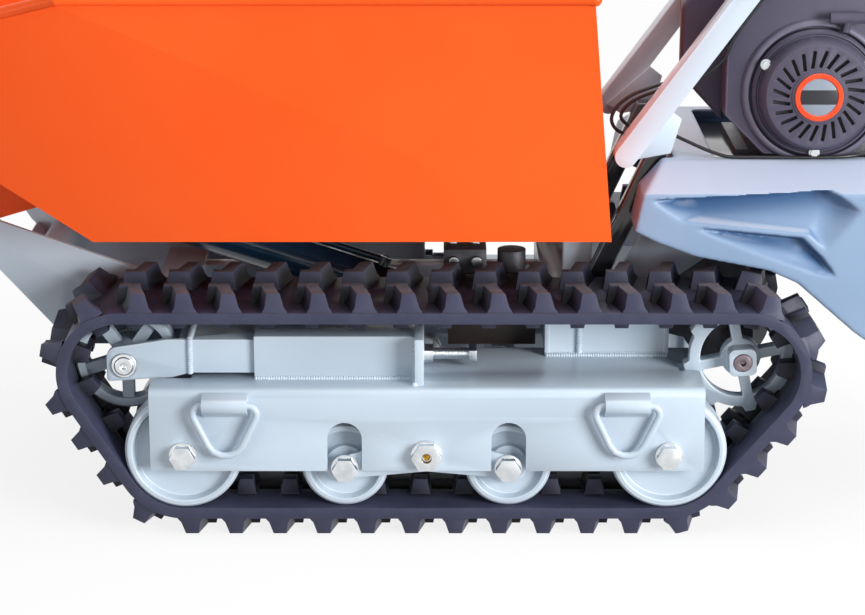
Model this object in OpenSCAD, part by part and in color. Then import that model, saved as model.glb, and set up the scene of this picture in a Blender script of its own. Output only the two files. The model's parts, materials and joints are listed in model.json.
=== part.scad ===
// Tracked power carrier: two rubber tracks, a forward tipping skip, an engine and walk-behind controls.
// Millimetres. X runs rearward, Y to the machine's right, Z up from the ground under the tread.

/* [Track] */
// Distance between the centre lines of the two tracks
track_gauge = 500; // [490:2:520]
// Width of one rubber track
track_w = 180; // [176:2:190]
// Thickness of the belt without its lugs
belt_t = 15; // [13:1:18]
// Height of the tread lugs
lug_h = 25; // [20:1:28]
// Width of a lug at its tip
lug_tip = 17; // [15:1:19]
// Width of a lug at its foot
lug_foot = 35; // [32:1:37]
// Turn of a lug's outer leg from square
lug_slant = 14; // [8:1:18]
// Height of the guide blocks inside the belt
guide_h = 22; // [16:1:24]
// Width across one guide block
guide_w = 20; // [16:1:21]
// Channel between the two rows of guide blocks
guide_gap = 30; // [28:1:32]

/* [Running gear] */
// Running gap between a wheel and the belt
wheel_gap = 0.6; // [0.5:0.1:0.9]
// Radial clearance of a wheel on its axle
bore_gap = 0.2; // [0.15:0.05:0.3]
// Turn of the sprocket at rest
sprocket_turn = 12; // [0:1:20]
// Radius of the sprocket under the belt
sprocket_r = 71; // [69:0.5:72]
// Place of the sprocket along the machine
sprocket_x = 424; // [418:1:430]
// Height of the sprocket and idler centres
drive_z = 231; // [229:1:234]
// Radius of the idler rim
idler_r = 71; // [69:0.5:72]
// Place of the idler along the machine
idler_x = -420; // [-424:1:-416]
// Radius of the front and rear rollers
end_roller_r = 80; // [76:1:82]
// Place of the front roller
front_roller_x = -338; // [-342:1:-334]
// Place of the rear roller
rear_roller_x = 320; // [316:1:324]
// Radius of the four bogie rollers
bogie_roller_r = 59; // [56:1:61]
// Place of the bogie pivots
bogie_x = -8; // [-12:1:-4]
// Distance from a bogie pivot to its rollers
bogie_reach = 111; // [108:1:114]
// Height of the bogie pivots
pivot_z = 121; // [118:1:124]
// Radius of the roller axle bolts
axle_r = 10; // [9:0.5:11]

/* [Track frame] */
// Outer width of a track beam
beam_w = 200; // [200:2:210]
// Front end of the beams
beam_front = -382; // [-386:1:-376]
// Rear end of the beams
beam_rear = 367; // [360:1:372]
// Lower edge of the beams
beam_low = 98; // [94:1:102]
// Upper face of the beams
beam_top = 214; // [210:1:216]
// Plate of the beams
plate_t = 8; // [6:1:9]
// Width of the slots over the bogie axles
slot_w = 47; // [44:1:50]
// Top of those slots
slot_top = 167; // [160:1:172]
// Radius of the rod of a lashing ring
ring_rod = 5; // [4:0.5:5.5]
// Width of a lashing ring
ring_w = 96; // [90:1:100]
// Drop of a lashing ring below its bar
ring_drop = 76; // [68:1:80]

/* [Track tension] */
// Outer height of the tension box
box_h = 60; // [56:1:60]
// Outer width of the tension box
box_w = 104; // [100:1:106]
// Wall of the tension box
box_wall = 6; // [5:0.5:6]
// Front end of the tension box
box_front = -242; // [-246:1:-236]
// Rear end of the tension box
box_rear = -24; // [-28:1:-20]
// Gap of the yoke in the tension box
slide_gap = 0.4; // [0.3:0.1:0.6]
// Radius of the tension bolt
screw_r = 8; // [7:0.5:9]

/* [Skip] */
// Height of the skip floor above the ground
skip_z = 406; // [404:1:412]
// Front end of the skip floor
skip_front = -455; // [-460:1:-450]
// Rear end of the skip floor
skip_rear = 240; // [232:1:242]
// Half width of the skip floor
skip_half = 300; // [290:2:310]
// Height of the skip walls
skip_h = 330; // [300:5:350]
// Lean of each side wall over its height
skip_flare = 20; // [10:1:26]
// Forward lean of the rear wall over its height
skip_lean = 29; // [20:1:34]
// Reach of the pouring lip in front of the floor
lip_reach = 387; // [370:1:400]
// Half width of the pouring lip
lip_half = 235; // [220:5:250]
// Rise of the front panel
front_slope = 31; // [30:0.5:32]
// Sheet of the skip
sheet_t = 3; // [2:0.5:4]
// Radius of the rolled rim
rim_r = 8; // [6:0.5:10]

/* [Tipping gear] */
// Skip hinge along the machine
hinge_x = -655; // [-660:1:-650]
// Skip hinge above the ground
hinge_z = 404; // [402:1:408]
// Pin of the skip hinge
hinge_r = 12; // [10:0.5:13]
// Rod eye along the machine
eye_x = -593; // [-596:1:-590]
// Rod eye above the ground
eye_z = 431; // [429:1:434]
// Cylinder foot along the machine
foot_x = -41; // [-44:1:-36]
// Cylinder foot above the ground
foot_z = 250; // [247:1:252]
// Outer radius of the cylinder barrel
barrel_r = 30; // [27:0.5:31]
// Length of the barrel from its foot pin
barrel_len = 372; // [350:1:374]
// Radius of the piston rod
rod_r = 15; // [13:0.5:16]
// Radius of the cylinder pins
eye_pin_r = 10; // [9:0.5:11]
// Play of the rod pin in the ears of the skip
eye_play = 9; // [8:0.5:10]

/* [Engine] */
// Crankshaft along the machine
crank_x = 526; // [522:1:530]
// Crankshaft above the ground
crank_z = 582; // [580:1:586]
// Radius of the recoil cover
recoil_r = 88; // [84:1:90]
// Number of cooling slots in the recoil cover
recoil_slots = 24; // [18:1:28]
// Top of the engine deck
deck_z = 472; // [470:1:474]
// Half width of the rear cowl
cowl_half = 245; // [240:1:250]
// Top of the rear cowl
cowl_top = 491; // [488:1:492]
// Wall of the rear cowl
cowl_wall = 5; // [4:0.5:6]
// Depth of the cowl's moulded side panels
cowl_side = 24; // [22:1:30]

/* [Controls] */
// Height of the handlebar at the grips
grip_z = 950; // [940:1:960]
// Half distance between the grips
grip_half = 238; // [230:1:246]
// Radius of the handlebar tube
bar_r = 14; // [12:0.5:15]
// Radius of the grips
grip_r = 18; // [17:0.5:20]
// Length of the grips
grip_len = 120; // [110:1:126]
// Rear end of the grips along the machine
bar_end = 850; // [845:1:860]

/* [Hidden] */
$fn = 48;

paint = "#bccad6";
orange = "#ff5a1e";
rubber = "#35333c";
zinc = "#d8dbde";
black = "#26262b";
castgrey = "#8f959c";
blue = "#1d4566";

// Belt path, with eight teeth on the sprocket
// The wheels inside the loop, each as x, z and the radius of the belt's inner face
teeth = 8;
floor_in = belt_t + lug_h;
end_axle_z = floor_in + wheel_gap + end_roller_r;
bogie_axle_z = floor_in + wheel_gap + bogie_roller_r;
loop = [[sprocket_x, drive_z, sprocket_r + wheel_gap], [idler_x, drive_z, idler_r + wheel_gap],
  [front_roller_x, end_axle_z, end_roller_r + wheel_gap],
  [rear_roller_x, end_axle_z, end_roller_r + wheel_gap]];
function span(a, b) = norm([b[0] - a[0], b[1] - a[1]]);
function side_angle(a, b) = atan2(b[1] - a[1], b[0] - a[0]) - acos((a[2] - b[2]) / span(a, b));
function on_circle(c, ang, extra = 0) = [c[0], c[1]] + (c[2] + extra) * [cos(ang), sin(ang)];
leave_sprocket = side_angle(loop[0], loop[1]);
leave_idler = side_angle(loop[1], loop[2]) + 360;
leave_front = side_angle(loop[2], loop[3]) + 360;
meet_sprocket = side_angle(loop[3], loop[0]);
arc_from = [meet_sprocket, leave_sprocket, leave_idler, leave_front];
arc_to = [leave_sprocket, leave_idler, leave_front, meet_sprocket + 360];
function run(k) = sqrt(pow(span(loop[k], loop[(k + 1) % 4]), 2) - pow(loop[k][2] - loop[(k + 1) % 4][2], 2));
function turn(k) = (arc_to[k] - arc_from[k]) * PI / 180;
function total(v, i = 0) = i < len(v) - 1 ? v[i] + total(v, i + 1) : v[i];
inner_len = total([for (k = [0:3]) run(k) + turn(k) * loop[k][2]]);
// Whole number of links, with the cord line set so that one link spans one sprocket tooth
links = round(teeth * (inner_len / (2 * PI) + 5) / (loop[0][2] + 5));
cord_off = (inner_len / (2 * PI) - links * loop[0][2] / teeth) / (links / teeth - 1);
pitch = 2 * PI * (loop[0][2] + cord_off) / teeth;
function seg_len(i) = i % 2 == 0 ? turn(i / 2) * (loop[i / 2][2] + cord_off) : run((i - 1) / 2);
function seg_at(i, s) = let(k = floor(i / 2), a = i % 2 == 0
    ? arc_from[k] + s / (loop[k][2] + cord_off) * 180 / PI : arc_to[k],
    p = on_circle(loop[k], a) + (i % 2 == 0 ? 0 : s) * [-sin(a), cos(a)]) [p[0], p[1], a];
function place(s, i = 0) = s <= seg_len(i) || i == 7 ? seg_at(i, s) : place(s - seg_len(i), i + 1);
tooth_s = (sprocket_turn - meet_sprocket) * PI / 180 * (loop[0][2] + cord_off);
function loop_points(extra) = [for (k = [0:3]) for (i = [0:ceil((arc_to[k] - arc_from[k]) / 6)])
    on_circle(loop[k], min(arc_from[k] + i * 6, arc_to[k]), extra)];

// Cross positions in one track, measured from its centre line
half_w = track_w / 2;
beam_in = beam_w / 2 - plate_t;
guide_out = guide_gap / 2 + guide_w;
rocker_t = 6;
rocker_out = beam_in - 2;
roller_half = beam_in - 4;
bogie_half = rocker_out - rocker_t - 4;
bolt_af = 30;
head_t = 13;
washer_t = 3;

// Tension gear
tube_w = box_w - 2 * box_wall - 2 * slide_gap;
tube_h = box_h - 2 * box_wall - 2 * slide_gap;
box_mid = beam_top + box_h / 2;
arm_t = 10;
pin_r = 12.5;
slide_travel = 12;
yoke_face = idler_x + idler_r + 4;
tube_rear = box_front + 142;
screw_z = beam_top + 20;

// Chassis levels
rail_in = 60;
rail_w = 35;
rail_top = beam_top + 60;
cross_top = 292;
cross_front = 157;
cross_rear = 330;
snout_t = 8;
snout_gap = 12;
track_inside = track_gauge / 2 - half_w;
snout_y = track_inside - snout_gap - snout_t;
deck_front = 395;
deck_rear = 625;
rest_y = 86;
side_y = 104;
side_t = 8;

// Cylinder axis
tip_angle = atan2(eye_z - foot_z, foot_x - eye_x);
eye_dist = norm([eye_x - foot_x, eye_z - foot_z]);
eye_half = 22;
foot_half = 31;
ear_t = 10;

// Handle arms: line from the lower end up to the handlebar
arm_low = [265, 498.5];
arm_rise = 54;
arm_len = 540;
arm_w = 30;
arm_d = 40;
post_t = 30;
post_y = track_inside - post_t - 11;
gusset_t = 8;
arm_y = post_y + post_t + gusset_t;
arm_dir = [cos(arm_rise), sin(arm_rise)];
arm_nrm = [-sin(arm_rise), cos(arm_rise)];
function on_arm(t, off = 0) = arm_low + t * arm_dir + off * arm_nrm;
bar_mid_y = arm_y + arm_d / 2;
lip_x = skip_front - lip_reach;
lever_x = bar_end - grip_len - 16;

// Control cables: points chosen along each route, with one more worked out between each pair
cable_r = 2.5;
steer_route = [[705.7, -238, 931.5], [686, -236, 928], [656, -214, 919], [598, -167, 890], [542, -166, 834],
  [418, -166, 671], [382, -155, 624], [350, -147, 602], [314, -143, 589], [282, -141, 577], [258, -140, 560],
  [248, -140, 540], [257, -138, 523], [278, -135, 517], [302, -129, 520], [321, -115, 511], [327, -107, 478],
  [348, -88, 436], [384, -64, 400], [393, -60, 380]];
drive_route = [[704.8, -255, 955], [686, -256, 946], [658, -243, 928], [602, -178, 896], [544, -175, 838],
  [420, -175, 675], [400, -160, 629], [366, -149, 598], [330, -138, 584], [296, -130, 572], [272, -128, 558],
  [262, -127, 541], [272, -127, 529], [290, -129, 526], [312, -136, 526], [352, -151, 511],
  [398, -171, 495.5], [440, -176, 493.8], [556, -175, 493.8], [594, -160, 494.2], [612, -134, 487],
  [612, -88.8, 476.6]];
function unit(v) = v / norm(v);
function smoothed(p) = let(n = len(p)) concat([for (i = [0:n - 2]) each [p[i],
  (9 * (p[i] + p[i + 1]) - p[max(i - 1, 0)] - p[min(i + 2, n - 1)]) / 16]], [p[n - 1]]);
function carried(t, u, i = 0) = i == len(t) ? []
  : let(v = unit(u - (u * t[i]) * t[i])) concat([v], carried(t, v, i + 1));

// Shared shapes
module slab(y0, y1) translate([0, y1, 0]) rotate([90, 0, 0]) linear_extrude(height = y1 - y0) children();
module along_x(x0, x1) translate([x0, 0, 0]) rotate([90, 0, 90]) linear_extrude(height = x1 - x0) children();
module rod_y(r, y0, y1) translate([0, y0, 0]) rotate([-90, 0, 0]) cylinder(h = y1 - y0, r = r);
module hex_y(af, y0, y1) {
  translate([0, y0, 0]) rotate([-90, 0, 0]) cylinder(h = y1 - y0, r = af / 2 / cos(30), $fn = 6);
}
module box_at(lo, hi) translate(lo) cube(hi - lo);
module rod(a, b, r) {
  d = b - a;
  translate(a) rotate([0, acos(d[2] / norm(d)), atan2(d[1], d[0])]) cylinder(h = norm(d), r = r);
}
function round_rect(w, h, r) = [for (q = [0:3]) for (i = [0:6]) let(a = q * 90 + i * 15)
    [(q == 0 || q == 3 ? 1 : -1) * (w / 2 - r) + r * cos(a), (q < 2 ? 1 : -1) * (h / 2 - r) + r * sin(a)]];
module left_side() translate([0, -track_gauge / 2, 0]) children();
module right_side() mirror([0, 1, 0]) left_side() children();
module both() {
  children();
  mirror([0, 1, 0]) children();
}
module strut(a, b, w) {
  d = (b - a) / norm(b - a);
  n = [-d[1], d[0]] * w / 2;
  polygon([a - n, b - n, b + n, a + n]);
}
// Hex bolt across a pair of plates whose outer faces lie at plus and minus y
module cross_bolt(y, af) {
  rod_y(axle_r, -y - washer_t, y + washer_t + head_t + 4);
  hex_y(af, -y - washer_t - head_t, -y - washer_t);
  rod_y(af * 0.62, -y - washer_t, -y);
  rod_y(af * 0.62, y, y + washer_t);
  hex_y(af, y + washer_t, y + washer_t + head_t);
}

// Track: belt, chevron lugs outside, guide blocks and tooth pockets inside
lug_in = 66;
lug_root = 3;
module lug_ends() along_x(-45, 45) polygon([[-half_w + 1, -lug_root], [-half_w + lug_in, -lug_root],
  [-half_w + lug_in - 4, lug_h], [-half_w + 9, lug_h]]);
module lug_half() {
  leg_y = -half_w + 45;
  intersection() {
    translate([3, leg_y, 0]) rotate([0, 0, lug_slant]) slab(-60, 18) polygon([[-lug_foot / 2, -lug_root],
      [lug_foot / 2, -lug_root], [lug_foot / 2 - 1, 1], [lug_tip / 2 + 4, 7], [lug_tip / 2, lug_h],
      [-lug_tip / 2, lug_h], [-lug_tip / 2 - 4, 7], [-lug_foot / 2 + 1, 1]]);
    lug_ends();
  }
  intersection() {
    slab(leg_y + 4, -half_w + lug_in) polygon([[-23, -lug_root - 0.5], [15, -lug_root - 0.5],
      [10, lug_h], [-18, lug_h]]);
    lug_ends();
  }
}
module at_link(j) {
  p = place((tooth_s + j * pitch) % (links * pitch));
  translate([p[0], 0, p[1]]) rotate([0, 90 - p[2], 0]) translate([0, 0, belt_t]) children();
}
module link_profile(j) {
  p = place((tooth_s + j * pitch) % (links * pitch));
  translate([p[0], p[1]]) rotate(p[2] - 90) children();
}
module belt_profile() difference() {
  polygon(loop_points(belt_t));
  polygon(loop_points(0));
}
pocket_l = 30;
pocket_d = 10;
module track() color(rubber) {
  both() {
    slab(guide_out, half_w) belt_profile();
    slab(guide_gap / 2, guide_out) {
      belt_profile();
      for (j = [0:links - 1]) link_profile(j + 0.5)
        polygon([[-14, 3], [14, 3], [13, -4], [9, -guide_h], [-9, -guide_h], [-13, -4]]);
    }
  }
  slab(-guide_gap / 2, guide_gap / 2) difference() {
    belt_profile();
    for (j = [0:links - 1]) link_profile(j) translate([-pocket_l / 2, -2]) square([pocket_l, pocket_d + 2]);
  }
  for (j = [0:links - 1]) at_link(j + 0.5) both() lug_half();
}

// Drive sprocket: toothed ring, four spokes and a square hub
tooth_h = 8;
hub_sq = 38;
shaft_r = 12.5;
module sprocket() color(paint) translate([sprocket_x, 0, drive_z]) rotate([0, -sprocket_turn, 0]) {
  difference() {
    union() {
      slab(-11, 11) difference() {
        union() {
          circle(sprocket_r);
          for (k = [0:teeth - 1]) rotate(k * 360 / teeth)
            polygon([[sprocket_r - 6, -12], [sprocket_r + tooth_h, -7],
              [sprocket_r + tooth_h, 7], [sprocket_r - 6, 12]]);
        }
        for (k = [0:3]) rotate(k * 90 + 45) intersection() {
          difference() {
            circle(sprocket_r - 15);
            circle(27);
          }
          polygon([[10, 0], [70, -60], [110, 0], [70, 60]]);
        }
      }
      rotate([0, 8, 0]) slab(-36, 24) polygon(round_rect(hub_sq, hub_sq, 9));
    }
    rod_y(shaft_r, -60, 60);
  }
}
module axle() color(castgrey) translate([sprocket_x, 0, drive_z]) difference() {
  rod_y(shaft_r - 0.05, -38, track_gauge / 2 - 92);
  rod_y(4, -40, -30);
}

// Idler: rim between the guide rows, five spokes and a hub that fills the yoke
module idler() color(paint) translate([idler_x, 0, drive_z]) difference() {
  union() {
    rotate([-90, 0, 0]) rotate_extrude() polygon([[idler_r - 13, -14], [idler_r - 3, -14],
      [idler_r, -11], [idler_r, 11], [idler_r - 3, 14], [idler_r - 13, 14]]);
    rod_y(25, -tube_w / 2 + arm_t + 1, tube_w / 2 - arm_t - 1);
    for (k = [0:4]) rotate([0, k * 72 + 18, 0]) translate([18, -8, -8]) cube([idler_r - 26, 16, 16]);
  }
  rod_y(pin_r + bore_gap, -60, 60);
}

// Rollers: one turned profile with a dished face and a raised rim, waisted clear of the guide blocks
module roller(r, half, waist) color(paint) rotate([-90, 0, 0]) rotate_extrude()
  polygon([[axle_r + bore_gap, -half + 3], [26, -half + 3], [28, -half + 12], [r - 14, -half + 12],
    [r - 10, -half], [r - 4, -half], [r, -half + 4], [r, -guide_out - 6], [r - 6, -guide_out - 2],
    [waist, -guide_out - 2], [waist, guide_out + 2], [r - 6, guide_out + 2], [r, guide_out + 6],
    [r, half - 4], [r - 4, half], [r - 10, half], [r - 14, half - 12], [28, half - 12],
    [26, half - 3], [axle_r + bore_gap, half - 3]]);
module end_roller(x) {
  translate([x, 0, end_axle_z]) roller(end_roller_r, roller_half, end_roller_r - guide_h - 6);
}
module bogie_roller(x) {
  translate([x, 0, bogie_axle_z]) roller(bogie_roller_r, bogie_half, bogie_roller_r - guide_h - 6);
}

// Track beam: folded channel over the rollers, with slots for the bogie axles and clips for the rings
fold_r = 12;
clip_w = 61;
ring_x = [front_roller_x + 59, rear_roller_x - 58];
bar_z = beam_top - 19;
bar_y = beam_w / 2 + 12;
module channel(w, top, r) {
  polygon(concat([[w / 2, beam_low - 1], [w / 2, top - r]],
    [for (i = [1:6]) [w / 2 - r + r * cos(i * 15), top - r + r * sin(i * 15)]],
    [for (i = [6:12]) [-w / 2 + r + r * cos(i * 15), top - r + r * sin(i * 15)]],
    [[-w / 2, beam_low - 1]]));
}
module ring_clip(x) translate([x, 0, 0]) difference() {
  along_x(-clip_w / 2, clip_w / 2) union() {
    translate([-bar_y, bar_z]) circle(11);
    polygon([[-beam_w / 2, bar_z - 20], [-beam_w / 2, beam_top - 4], [-bar_y - 2, bar_z + 10.8],
      [-bar_y - 2, bar_z - 10.8]]);
  }
  translate([-clip_w / 2 - 1, -bar_y, bar_z]) rotate([0, 90, 0]) cylinder(h = clip_w + 2, r = ring_rod + 0.4);
}
module track_beam() color(paint) {
  difference() {
    along_x(beam_front, beam_rear) difference() {
      channel(beam_w, beam_top, fold_r);
      channel(beam_w - 2 * plate_t, beam_top - plate_t, fold_r - plate_t);
      translate([-beam_w, beam_low - 50]) square([2 * beam_w, 50]);
    }
    for (s = [-1, 1]) translate([bogie_x + s * bogie_reach, 0, slot_top - slot_w / 2]) {
      rod_y(slot_w / 2, -beam_w, beam_w);
      box_at([-slot_w / 2, -beam_w, -100], [slot_w / 2, beam_w, 0]);
    }
    for (x = [front_roller_x, rear_roller_x]) {
      translate([x, 0, end_axle_z]) rod_y(axle_r + 0.1, -beam_w, beam_w);
    }
    box_at([sprocket_x - sprocket_r - tooth_h - 6, -16, beam_top - plate_t - 1],
      [beam_rear + 1, 16, beam_top + 1]);
    box_at([beam_front - 1, -tube_w / 2 - 4, beam_top - plate_t - 1],
      [idler_x + idler_r + slide_travel + 8, tube_w / 2 + 4, beam_top + 1]);
    translate([bogie_x, 0, pivot_z]) rod_y(pin_r + 0.1, -beam_w, beam_w);
  }
  for (x = ring_x) ring_clip(x);
}
// Bolts of the track frames: the end roller axles, and the bogie pivots with their hollow heads
module axle_bolts() color(zinc) both() left_side() {
  for (x = [front_roller_x, rear_roller_x]) translate([x, 0, end_axle_z]) cross_bolt(beam_w / 2, bolt_af);
  translate([bogie_x, 0, pivot_z]) pivot_bolt();
}

// Lashing ring: a bent rod swept round three corners, its straight bar through the clip
ring_corner = 12;
ring_nose = 26;
ring_sides = 12;
ring_half = ring_w / 2 - ring_corner - ring_rod;
corners = [[ring_half, -ring_corner, ring_corner], [-ring_half, -ring_corner, ring_corner],
  [0, -ring_drop + ring_nose + ring_rod, ring_nose]];
ring_path = [for (k = [0:2]) let(in = side_angle(corners[(k + 2) % 3], corners[k]),
    sweep = (side_angle(corners[k], corners[(k + 1) % 3]) - in + 720) % 360)
  for (i = [0:5]) let(a = in + sweep * i / 5) concat(on_circle(corners[k], a), a)];
module lashing_ring(x) color(paint) translate([x, -bar_y, bar_z]) {
  n = len(ring_path);
  polyhedron([for (p = ring_path) for (i = [0:ring_sides - 1]) let(c = ring_rod * cos(i * 360 / ring_sides))
      [p[0] + c * cos(p[2]), ring_rod * sin(i * 360 / ring_sides), p[1] + c * sin(p[2])]],
    [for (j = [0:n - 1]) for (i = [0:ring_sides - 1]) let(m = (j + 1) % n, h = (i + 1) % ring_sides)
      [j * ring_sides + i, m * ring_sides + i, m * ring_sides + h, j * ring_sides + h]]);
}

// Bogie: two rocker plates on a bush, with the axle bolts of its two rollers
module bogie() translate([bogie_x, 0, 0]) {
  color(paint) difference() {
    union() {
      both() slab(rocker_out - rocker_t, rocker_out) {
        translate([0, pivot_z]) circle(27);
        for (s = [-1, 1]) {
          translate([s * bogie_reach, bogie_axle_z]) circle(16);
          polygon([[0, pivot_z - 27], [s * bogie_reach, bogie_axle_z - 16],
            [s * bogie_reach, bogie_axle_z + 16], [0, pivot_z + 27]]);
        }
      }
      translate([0, 0, pivot_z]) rod_y(20, -rocker_out + rocker_t, rocker_out - rocker_t);
    }
    translate([0, 0, pivot_z]) rod_y(pin_r + bore_gap, -beam_w, beam_w);
    for (s = [-1, 1]) translate([s * bogie_reach, 0, bogie_axle_z]) rod_y(axle_r + 0.05, -beam_w, beam_w);
  }
  color(zinc) for (s = [-1, 1]) translate([s * bogie_reach, 0, bogie_axle_z]) cross_bolt(rocker_out, bolt_af);
}
module pivot_bolt() difference() {
  union() {
    rod_y(pin_r, -beam_w / 2 - 3, beam_w / 2 + 22);
    hex_y(36, -beam_w / 2 - 15, -beam_w / 2 - 3);
    rod_y(21, -beam_w / 2 - 3, -beam_w / 2);
    rod_y(21, beam_w / 2, beam_w / 2 + 3);
    hex_y(36, beam_w / 2 + 3, beam_w / 2 + 18);
  }
  rod_y(7, -beam_w / 2 - 16, -beam_w / 2 - 7);
}

// Tension gear: fixed box on the beam, yoke that slides in it, screw through the end plate
module tension_box() color(paint) difference() {
  union() {
    along_x(box_front, box_rear) translate([0, box_mid]) difference() {
      square([box_w, box_h], center = true);
      square([box_w - 2 * box_wall, box_h - 2 * box_wall], center = true);
    }
    box_at([box_rear, -box_w / 2 - 30, beam_top], [box_rear + 12, box_w / 2, beam_top + 64]);
    translate([box_rear + 12, 0, screw_z]) rotate([0, 90, 0]) cylinder(h = 13, r = screw_r * 1.7, $fn = 6);
  }
  translate([box_rear - 1, 0, screw_z]) rotate([0, 90, 0]) cylinder(h = 30, r = screw_r + 0.3);
}
module yoke() {
  color(paint) difference() {
    union() {
      both() slab(tube_w / 2 - arm_t, tube_w / 2) {
        translate([idler_x - 8, drive_z + 10]) circle(16);
        polygon([[idler_x - 21, drive_z - 23], [yoke_face - 7, box_mid - tube_h / 2 - 6],
          [yoke_face + 15, box_mid - tube_h / 2], [yoke_face + 15, box_mid + tube_h / 2],
          [yoke_face - 15, box_mid + tube_h / 2], [idler_x - 8, drive_z + 26], [idler_x - 8, drive_z + 10],
          [idler_x - 24, drive_z + 10], [idler_x - 24, drive_z - 20]]);
      }
      along_x(yoke_face, tube_rear) translate([0, box_mid]) difference() {
        square([tube_w, tube_h], center = true);
        square([tube_w - 10, tube_h - 10], center = true);
      }
      along_x(yoke_face, yoke_face + 6) translate([0, box_mid]) square([tube_w, tube_h], center = true);
      along_x(tube_rear, tube_rear + 8) translate([0, box_mid]) square([tube_w, tube_h], center = true);
    }
    translate([idler_x, 0, drive_z]) rod_y(pin_r + 0.05, -80, 80);
  }
  color(zinc) translate([idler_x, 0, drive_z]) difference() {
    union() {
      rod_y(pin_r, -tube_w / 2 - 6, tube_w / 2 + 6);
      both() rod_y(pin_r + 5, tube_w / 2 + 0.2, tube_w / 2 + 3.2);
    }
    rod_y(4, -tube_w / 2 - 7, -tube_w / 2 - 1);
  }
}
module tension_bolt() color(zinc) translate([0, 0, screw_z]) rotate([0, 90, 0]) {
  translate([0, 0, tube_rear + 8.3]) cylinder(h = 52 - tube_rear - 8.3, r = screw_r);
  translate([0, 0, 50]) cylinder(h = 11, r = screw_r * 1.75, $fn = 6);
}

// Chassis between the tracks
module main_frame() color(paint) difference() {
  union() {
    both() difference() {
      box_at([-346, rail_in, beam_top], [cross_front + 4, rail_in + rail_w, rail_top]);
      box_at([-360, rail_in + 5, beam_top + 5], [cross_front, rail_in + rail_w - 5, rail_top - 5]);
    }
    for (x = [-230, -80]) box_at([x, -track_gauge / 2 + beam_w / 2, beam_top - 64],
      [x + 80, track_gauge / 2 - beam_w / 2, beam_top]);
    box_at([-400, -snout_y, beam_top + 6], [-340, snout_y, rail_top + 6]);
    difference() {
      box_at([cross_front, -200, beam_top], [cross_rear, 200, cross_top]);
      box_at([cross_front + 6, -210, beam_top + 6], [cross_rear - 6, 210, cross_top - 6]);
    }
    both() box_at([cross_front, 192, beam_top], [cross_rear, 198, cross_top]);
    both() slab(foot_half + 2, foot_half + 2 + ear_t) {
      translate([foot_x, foot_z]) circle(27);
      polygon([[foot_x - 36, beam_top], [foot_x + 36, beam_top], [foot_x + 27, foot_z],
        [foot_x - 27, foot_z]]);
    }
    both() box_at([186, rest_y, cross_top], [226, rest_y + 26, skip_z - 20.5]);
  }
  translate([foot_x, 0, foot_z]) rod_y(eye_pin_r + 0.05, -60, 60);
}
module snout() color(paint) difference() {
  union() {
    both() slab(snout_y, snout_y + snout_t) {
      translate([hinge_x, hinge_z]) circle(30);
      polygon([[hinge_x + 12, hinge_z - 27], [hinge_x + 46, hinge_z - 79], [-531, 237],
        [-505, beam_top + 2], [-340, beam_top + 2], [-340, rail_top + 20], [-391, 318],
        [hinge_x + 50, hinge_z - 9], [hinge_x + 8, hinge_z + 28]]);
    }
    translate([-560, 0, 305]) rod_y(22, -snout_y - 1, snout_y + 1);
    slab(-snout_y - 1, snout_y + 1) strut([-602, 318], [-527, 235], 6);
  }
  translate([hinge_x, 0, hinge_z]) rod_y(hinge_r + 0.05, -200, 200);
}
ear_w = 13;
ear_y = snout_y - ear_w - 3;
module tip_pins() color(zinc) {
  both() translate([hinge_x, 0, hinge_z]) {
    rod_y(hinge_r, ear_y - 4, snout_y + snout_t + 8);
    rod_y(hinge_r + 6, snout_y + snout_t + 0.2, snout_y + snout_t + 6);
  }
  translate([foot_x, 0, foot_z]) {
    rod_y(eye_pin_r, -foot_half - ear_t - 8, foot_half + ear_t + 8);
    both() rod_y(eye_pin_r + 6, foot_half + ear_t + 2.2, foot_half + ear_t + 6);
  }
}

// Skip: open sheet tub with a flared mouth, a pouring lip and a rolled rim
lip_z = skip_z + lip_reach * tan(front_slope);
top_z = skip_z + skip_h;
top_half = skip_half + skip_flare;
crease_x = skip_front - 0.1 * skip_h;
function tub(t, up) = [for (s = [-1, 1]) each [[skip_front + t * 0.6, s * (skip_half - t), skip_z + t],
  [skip_rear - t, s * (skip_half - t), skip_z + t],
  [skip_rear - skip_lean - t, s * (top_half - t), top_z + up],
  [crease_x + t * 0.6, s * (top_half - t), top_z + up],
  [lip_x + t * 2, s * (lip_half - t), lip_z + t * 0.35 + up]]];
module tub_solid(t, up) polyhedron(tub(t, up), [[0, 1, 6, 5], [1, 2, 7, 6], [0, 3, 2, 1], [0, 4, 3],
  [0, 5, 9, 4], [5, 6, 7, 8], [5, 8, 9], [2, 3, 8, 7], [3, 4, 9, 8]]);
module skip() color(orange) {
  difference() {
    tub_solid(0, 0);
    tub_solid(sheet_t, 2);
  }
  rim = [[skip_rear - skip_lean, top_half, top_z], [crease_x, top_half, top_z], [lip_x, lip_half, lip_z]];
  both() for (i = [0:1]) rod(rim[i], rim[i + 1], rim_r);
  for (p = [rim[0], rim[2]]) rod(p, [p[0], -p[1], p[2]], rim_r);
  both() for (p = rim) translate(p) sphere(rim_r + 1);
}
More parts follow.
